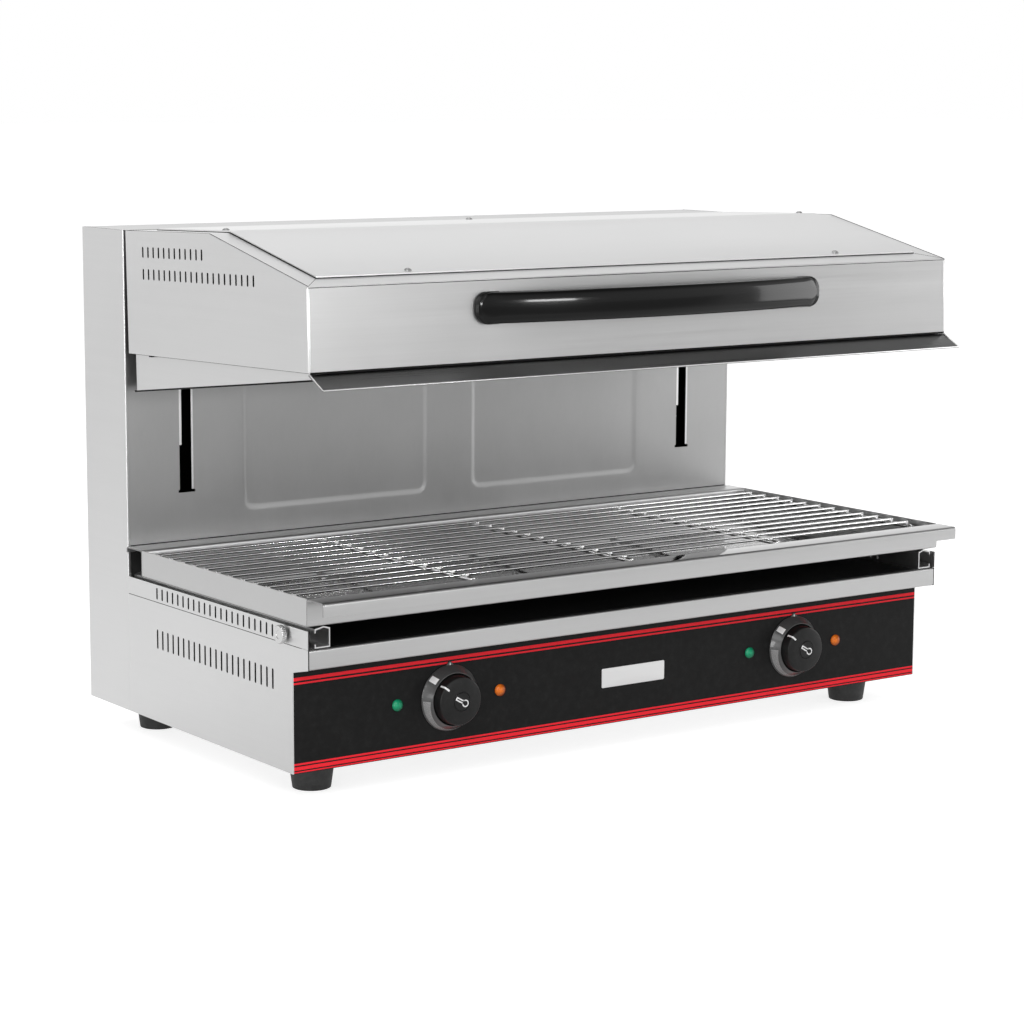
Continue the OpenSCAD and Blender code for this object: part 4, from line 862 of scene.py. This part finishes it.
def on_dial(x, points, turn=KNOB_TURN):
    """Plane x (right), y (up) and height out of the panel, turned anticlockwise about the dial's axis."""
    c, s = math.cos(turn), math.sin(turn)
    p = np.asarray(points)
    return np.stack([x + p[..., 0] * c - p[..., 1] * s, PANEL_FACE - p[..., 2],
                     DIAL_Z + p[..., 0] * s + p[..., 1] * c], -1)


def bar(x0, y0, x1, y1, base, top):
    """A flat printed mark in the dial's plane, with softly rounded corners."""
    half = mm([(x1 - x0) / 2, (y1 - y0) / 2])
    line = stadium(half[0], half[1], min(half) * 0.25, 3) + mm([(x0 + x1) / 2, (y0 + y1) / 2])
    return pillow_plate(line, mm([base, top]), mm([0, 0.05]))


RING_FOOT, RING_SLOPE = (32.6 * MM, 1.5 * MM), 1.6
TICKS, TICK_STEP, TICK_LENGTH = 66, 1.85, 4.2


def on_ring(x, turn):
    """Plane x (along the ring) and y (distance from its axis) laid on the ring's slope, whose height
    falls by 1.6 for each step outwards, at the angle turn (degrees, anticlockwise from +X)."""
    def place(p):
        angle = math.radians(turn) + p[:, 0] / p[:, 1]
        height = RING_FOOT[1] + (RING_FOOT[0] - p[:, 1]) * RING_SLOPE + p[:, 2]
        return np.stack([x + p[:, 1] * np.cos(angle), PANEL_FACE - height, DIAL_Z + p[:, 1] * np.sin(angle)], -1)
    return place


# Printed on each ring: a white mark, a dot on the lug and a wedge of fine ticks that narrows anticlockwise
whites, ticks = [], []
for x in DIALS:
    arc_line = np.stack([np.linspace(-3.3, 3.3, 9), np.full(9, 0.04)], -1) * MM
    whites.append(moved(folded_sheet(arc_line, 0.16 * MM, 28.0 * MM, 32.3 * MM, "y"), on_ring(x, 136)))
    whites.append(moved(bar(-0.7, 32.6, 0.7, 35.0, 1.4, 1.56), lambda p, x=x: on_dial(x, p, 0)))
    ticks += [moved(bar(-0.3, 32.0 - TICK_LENGTH * (1 - k / TICKS), 0.3, 32.2, -0.1, 0.05),
                    on_ring(x, 180 + TICK_STEP * k)) for k in range(TICKS)]
piece("ring_marks_white", joined(*whites), "base", "pointer_white", mark_white)
piece("ring_ticks_grey", joined(*ticks), "base", "ring_plastic", mark_grey)

for side, x in (("left", -DIAL_X), ("right", DIAL_X)):
    body = f"{side}_dial"
    piece(f"{side}_knob_body", lathe(knob_profile, dial_place(x), OUT, 96), body, "knob_plastic", knob_black,
          [f"{side}_knob"])
    strip_line = rounded(mm([(18.6, 21.25), (23.2, 20.8), (24.3, 19.9), (24.8, 13.5)]), 0.6 * MM, 5)
    pointer = moved(folded_sheet(strip_line, 0.4 * MM, -0.9 * MM, 0.9 * MM), lambda p, x=x: on_dial(x, p))
    # A plain thermometer sign on the cap: a white outline with a black core
    for name, grow, top, material, slot in (("pointer", 1.3, 22.90, mark_white, "pointer_white"),
                                            ("sign_core", 0.0, 22.98, knob_black, "knob_plastic")):
        bulb = pillow_plate(arc((0, -4.1), 2.5 + grow, 0, 345, 24) * MM, mm([22.6, top]),
                            mm([0, 0.05]))
        thermometer = joined(bar(-0.6 - grow, -2.0, 0.6 + grow, 6.9 + grow, 22.6, top), bulb)
        thermometer = moved(thermometer, lambda p, x=x: on_dial(x, p, math.radians(60)))
        replaced = [f"{side}_pointer"] if name == "pointer" else []
        piece(f"{side}_knob_{name}", joined(pointer, thermometer) if replaced else thermometer, body, slot, material,
              replaced)
    covered(NODES[f"{side}_spindle"], ground_rod)

DOME_R, DOME_RISE, RIPPLE = 6.0, 3.6, 1.2
dome_r = np.linspace(DOME_R, 0, 15)
dome_h = 1.4 + DOME_RISE * (1 - (dome_r / DOME_R) ** 2.2) + 0.1 * np.cos(dome_r * 2 * math.pi / RIPPLE)
dome_profile = np.concatenate([[(0, -26), (5.9, -26)], np.stack([dome_r, dome_h], -1)]) * MM
for node, shift, glass, slot in (("power_lamps", -LAMP_X, lens_green, "lamp_green"),
                                 ("heat_lamps", LAMP_X, lens_amber, "lamp_amber")):
    domes = [lathe(dome_profile, dial_place(x + shift), OUT, 40) for x in DIALS]
    piece(node + "_lens", joined(*domes), "base", slot, glass, [node], crease=60)

# --- feet and screws

foot_profile = mm([(0, 12), (7, 12), (7.5, 11.5), (7.5, 0.8), (8.3, 0), (18, 0), (18.8, 0.4), (19, 1.2),
                   (20.8, 14), (22.8, 28.5), (22.7, 29.5), (22.0, 30), (0, 30)])
FOOT_X, FOOT_Y = 348 * MM, (-130.1 * MM, 181.9 * MM)
feet = [lathe(foot_profile, (x, y, 0), (0, 0, 1), 64) for x in (-FOOT_X, FOOT_X) for y in FOOT_Y]
piece("feet_rubber", joined(*feet), "base", "rubber_black", foot_rubber, ["rubber_feet"])


def cross_dome(radius, rise, sides=32):
    """A domed screw head with a cross recess. Height over (r, t): rise (1 - (r/R)^2)^0.6, less 0.45 rise in
    the recess, where |x| or |y| is under about a tenth of R and r under 0.6 R."""
    r = radius * np.array([1, 1, 0.97, 0.88, 0.72, 0.58, 0.5, 0.36, 0.22, 0.1, 0])[:, None]
    t = np.linspace(0, 2 * math.pi, sides, endpoint=False)[None, :]
    x, y = r * np.cos(t), r * np.sin(t)
    h = rise * (1 - (r / radius) ** 2) ** 0.6 + 0 * t
    near = np.minimum(np.abs(x), np.abs(y))
    h = h - 0.45 * rise * smooth(1.5 - near / (0.11 * radius)) * (r < 0.6 * radius)
    h[0] = -0.2 * rise
    h[-1] = 0.35 * rise
    return patch(np.stack([x, y, h], -1))


BEND, HEAD_HIGH, COVER_RISE, SIDE_DROP = mm([-170, 124, 2, 45])
SLOPE = math.atan(SIDE_DROP / (HEAD_DEPTH + BEND))
SLOPE_Y, BACK_Y, REAR_Y = mm([-320, -150, -31])
slope_z = HEAD_HIGH + COVER_RISE + (SLOPE_Y - BEND) * math.tan(SLOPE)
screw_places = [(x, SLOPE_Y, slope_z, SLOPE) for x in (-270 * MM, 270 * MM)]
screw_places += [(x, y, HEAD_HIGH + COVER_RISE, 0.0) for x, y in ((-369 * MM, BACK_Y), (369 * MM, BACK_Y), (0, REAR_Y))]


def screw_at(place):
    """One cover screw, tipped by the slope about X and set on the cover."""
    points, faces = cross_dome(3.8 * MM, 2.2 * MM)
    c, s = math.cos(place[3]), math.sin(place[3])
    turned = np.stack([points[:, 0], points[:, 1] * c - points[:, 2] * s, points[:, 1] * s + points[:, 2] * c], -1)
    return in_head(turned + place[:3]), faces


piece("cover_screw_heads", joined(*[screw_at(p) for p in screw_places]), "head", "screw_steel", zinc, ["cover_screws"])

# Painted shade as dark tubes in the joints between the head's sheets: along both sides, round the cover, under the
# border and at its corners, and along the skirts' and sides' lower edges
JOINT_X, LID_X, LID_REAR, LID_FRONT = mm([398.7, 376.3, -23.7, -327.3])


def on_top(x, y, up):
    """A point on the head's top: level behind the bend, then falling by the slope, raised by up."""
    return (x, y, HEAD_HIGH + min(y - BEND, 0) * math.tan(SLOPE) + up)


def across(y, z, reach):
    """Three points straight across the machine."""
    return [(-reach, y, z), (0, y, z), (reach, y, z)]


SKIRT_X, SKIRT_REAR, SKIRT_RISE = 394.6 * MM, -38.9 * MM, 32 / 351
WALL_X, WALL_STEPS = 399.4 * MM, mm([-1, -176, -349])
FRONT_SEAMS = ((77.7 * MM, 0.3 * MM), (-0.4 * MM, 1.1 * MM))
BORDER_OVERLAP = 23 * MM
joints = [tube(across(-HEAD_DEPTH + 0.1 * MM, z, JOINT_X), r, 8) for z, r in FRONT_SEAMS]
joints += [tube(across(y, on_top(0, y, 0.2 * MM)[2], LID_X), 0.5 * MM, 8) for y in (LID_REAR, LID_FRONT)]
for s in (-1, 1):
    bend = (BEND + 1 * MM, BEND - 1 * MM)
    along = [on_top(s * JOINT_X, y, -0.1 * MM) for y in (0, *bend, -HEAD_DEPTH + 0.4 * MM)]
    lid = [on_top(s * LID_X, y, 0.2 * MM) for y in (LID_REAR, *bend, LID_FRONT)]
    corner = [on_top(s * (LID_X + k * (JOINT_X - LID_X)), LID_FRONT - k * BORDER_OVERLAP, -0.1 * MM)
              for k in (0, 0.5, 1)]
    skirt = [(s * SKIRT_X, y, SKIRT_REAR - SKIRT_RISE * y) for y in WALL_STEPS]
    foot = [(s * WALL_X, y, -0.1 * MM) for y in WALL_STEPS]
    joints += [tube(line, radius * MM, 8)
               for line, radius in ((along, 0.4), (lid, 0.55), (corner, 0.25), (skirt, 0.9), (foot, 0.3))]
piece("head_joints", moved(joined(*joints), in_head), "head", "frame_black", seam_shade)

# The rounded upright corners between the head's front and its sides, in near-white steel as painted highlight
CORNER_X, CORNER_IN, CORNER_R = mm([399.1, 0.9, 1.4])
corners = [tube([(s * CORNER_X, -HEAD_DEPTH + CORNER_IN, z * MM) for z in (0.6, 39, 77.6)], CORNER_R, 16)
           for s in (-1, 1)]
piece("head_corners", moved(joined(*corners), in_head), "head", "stainless_satin", steel_painted_highlight)

# The visor's cut edge, along its foot and up both of its slanted ends, in near-white steel as painted highlight
VISOR_OUT, VISOR_DROP, VISOR_HALF = 23 * MM, 14.7 * MM, HALF_WIDTH - 0.8 * MM
visor_foot = (-HEAD_DEPTH - VISOR_OUT + 0.8 * MM, -VISOR_DROP + 0.1 * MM)
visor_edges = [tube(across(*visor_foot, VISOR_HALF), 0.7 * MM, 10)]
for s in (-1, 1):
    line = [(s * VISOR_HALF, -HEAD_DEPTH - k * (VISOR_OUT - 0.8 * MM), -1.6 * MM - k * (VISOR_DROP - 1.7 * MM))
            for k in (0, 0.5, 1)]
    visor_edges.append(tube(line, 0.6 * MM, 10))
piece("visor_edges", moved(joined(*visor_edges), in_head), "head", "stainless_satin", steel_painted_highlight)

# Painted shade as dark tubes in the seams at the column's top corners and along the rails' lower edges
rail_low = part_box("slotted_rails")[0].z
column_top = [(JOINT_X, y, column_high.z - 0.2 * MM) for y in (COLUMN_FACE + 3 * MM, 0.2, COLUMN_REAR - MM)]
rail_foot = [(HALF_WIDTH - 0.3 * MM, y, rail_low) for y in (LIP_FACE + 12 * MM, 0, COLUMN_FACE - MM)]
column_joints = [tube(np.array(line) * (s, 1, 1), radius * MM, 8)
                 for line, radius in ((column_top, 0.35), (rail_foot, 0.4)) for s in (-1, 1)]
piece("column_joints", joined(*column_joints), "base", "frame_black", seam_shade)

# --- inside

for node, material in {
    "base_floor": steel_plain, "thermostats": phenolic, "terminal_block": porcelain, "cable_gland": nylon,
    "foot_screws": zinc, "casing_screws": zinc, "guide_rods": ground_rod, "rod_clamps": plate_paint,
    "strut_cylinders": black_paint_and_shade, "strut_rods": ground_rod, "lift_arms": plate_paint, "carriage": plate_paint,
    "guide_bushes": brass, "head_bolts": zinc, "reflector": steel_tray, "insulation": fibre,
    "left_elements": sheath, "right_elements": sheath, "element_terminals": porcelain, "element_hangers": steel_plain,
    "sensor_bulbs": copper,
}.items():
    covered(NODES[node], material)

# --- floor, light and camera


def studio_floor():
    """A pale floor that takes the object's shadow and meets the white background without a seam."""
    mesh = bpy.data.meshes.new("floor")
    mesh.from_pydata([(-40, -40, 0), (40, -40, 0), (40, 40, 0), (-40, 40, 0)], [], [(0, 1, 2, 3)])
    material, graph, shader = new_material("floor_pale")
    graph.feed(shader, {"Base Color": (0.6, 0.6, 0.6, 1), "Roughness": 0.9})
    path = graph.new("LightPath").outputs
    place = graph.new("SeparateXYZ", graph.place()).outputs
    slant = graph.add(place[0], graph.times(graph.add(place[1], 1.9), 1.2))
    mirrored = graph.times(path["Is Glossy Ray"], graph.ramp(slant, 0.75, 2.2, 0.10, 0.44))
    level = graph.maths("MAXIMUM", graph.times(path["Is Camera Ray"], 0.75), mirrored)
    glow = graph.feed(graph.new("Emission"), {"Strength": level})
    both = graph.new("AddShader", shader.outputs[0], glow.outputs[0])
    out = next(n for n in graph.tree.nodes if n.type == "OUTPUT_MATERIAL")
    graph.feed(out, {"Surface": both.outputs[0]})
    mesh.materials.append(material)
    placed("floor", mesh)


def studio_world():
    """White to the camera; polished surfaces see it white near the horizon, brighter at the back than in
    front, and darker overhead."""
    world = bpy.data.worlds.new("studio")
    bpy.context.scene.world = world
    world.use_nodes = True
    world.node_tree.nodes.clear()
    graph = Graph(world.node_tree)
    path = graph.new("LightPath").outputs
    axes = graph.new("SeparateXYZ", graph.new("TexCoord").outputs["Generated"]).outputs
    bright = graph.ramp(axes[2], 0.22, 0.78, 0.95, 0.16, interpolation_type="SMOOTHSTEP")
    for edges in ((-1.0, -0.55, 0.72, 1.0), (0.0, 0.9, 1.0, 1.25)):
        bright = graph.times(bright, graph.ramp(axes[1], *edges))
    soft = graph.maths("MAXIMUM", path["Is Glossy Ray"], path["Is Transmission Ray"])
    level = graph.blend(soft, (0.5, 0.5, 0.5, 1), bright)
    level = graph.blend(path["Is Camera Ray"], level, (1, 1, 1, 1))
    graph.new("OutputWorld", graph.new("Background", level).outputs[0])


def soft_lamp(name, place, target, size, power):
    """A large four-cornered lamp at a place, turned to its target."""
    light = with_values(bpy.data.lights.new(name, "AREA"), shape="RECTANGLE", size=size[0], size_y=size[1],
                        energy=power)
    lamp = placed(name, light)
    lamp.location = place
    lamp.rotation_euler = (lamp.location - Vector(target)).to_track_quat("Z", "Y").to_euler()


studio_floor()
studio_world()
for lamp in (
    ("key", (-2.2, -2.0, 2.6), (0, 0, 0.3), (2.2, 2.2), 42),
    ("fill", (2.7, -1.1, 0.6), (0.1, -0.2, 0.4), (1.3, 0.9), 10),
    ("top", (0.2, 0.6, 3.0), (0, 0, 0.4), (2.5, 1.6), 26),
    ("edge", (-2.1, -1.5, 0.4), (-0.4, -0.2, 0.4), (0.4, 0.8), 9),
    ("side", (-2.9, -0.5, 0.4), (-0.2, -0.2, 0.2), (0.9, 0.6), 5),
    ("spark", (0.47, -2.55, 0.64), (-0.15, -0.25, 0.46), (0.42, 0.15), 5.6),
):
    soft_lamp(*lamp)

# Camera: fitted to the photograph's view
AZIMUTH, ELEVATION, ROLL = math.radians(-35.52525), math.radians(8.78031), math.radians(0.26713)
DISTANCE, TARGET, LENS, FILM = 2.97425, np.array([0.0007168, 0.0258, 0.219637]), 97.116, 36
level = math.cos(ELEVATION)
back = np.array([math.sin(AZIMUTH) * level, -math.cos(AZIMUTH) * level, math.sin(ELEVATION)])
right = unit(np.cross((0, 0, 1), back))
up = np.cross(back, right)
right, up = (right * math.cos(ROLL) + up * math.sin(ROLL), up * math.cos(ROLL) - right * math.sin(ROLL))
camera = placed("camera", with_values(bpy.data.cameras.new("camera"), lens=LENS, sensor_width=FILM))
rows = zip(np.stack([right, up, back], 1), TARGET + DISTANCE * back)
camera.matrix_world = Matrix([[*row, c] for row, c in rows] + [[0, 0, 0, 1]])
bpy.context.scene.camera = camera
bpy.context.scene.view_settings.view_transform = "Standard"
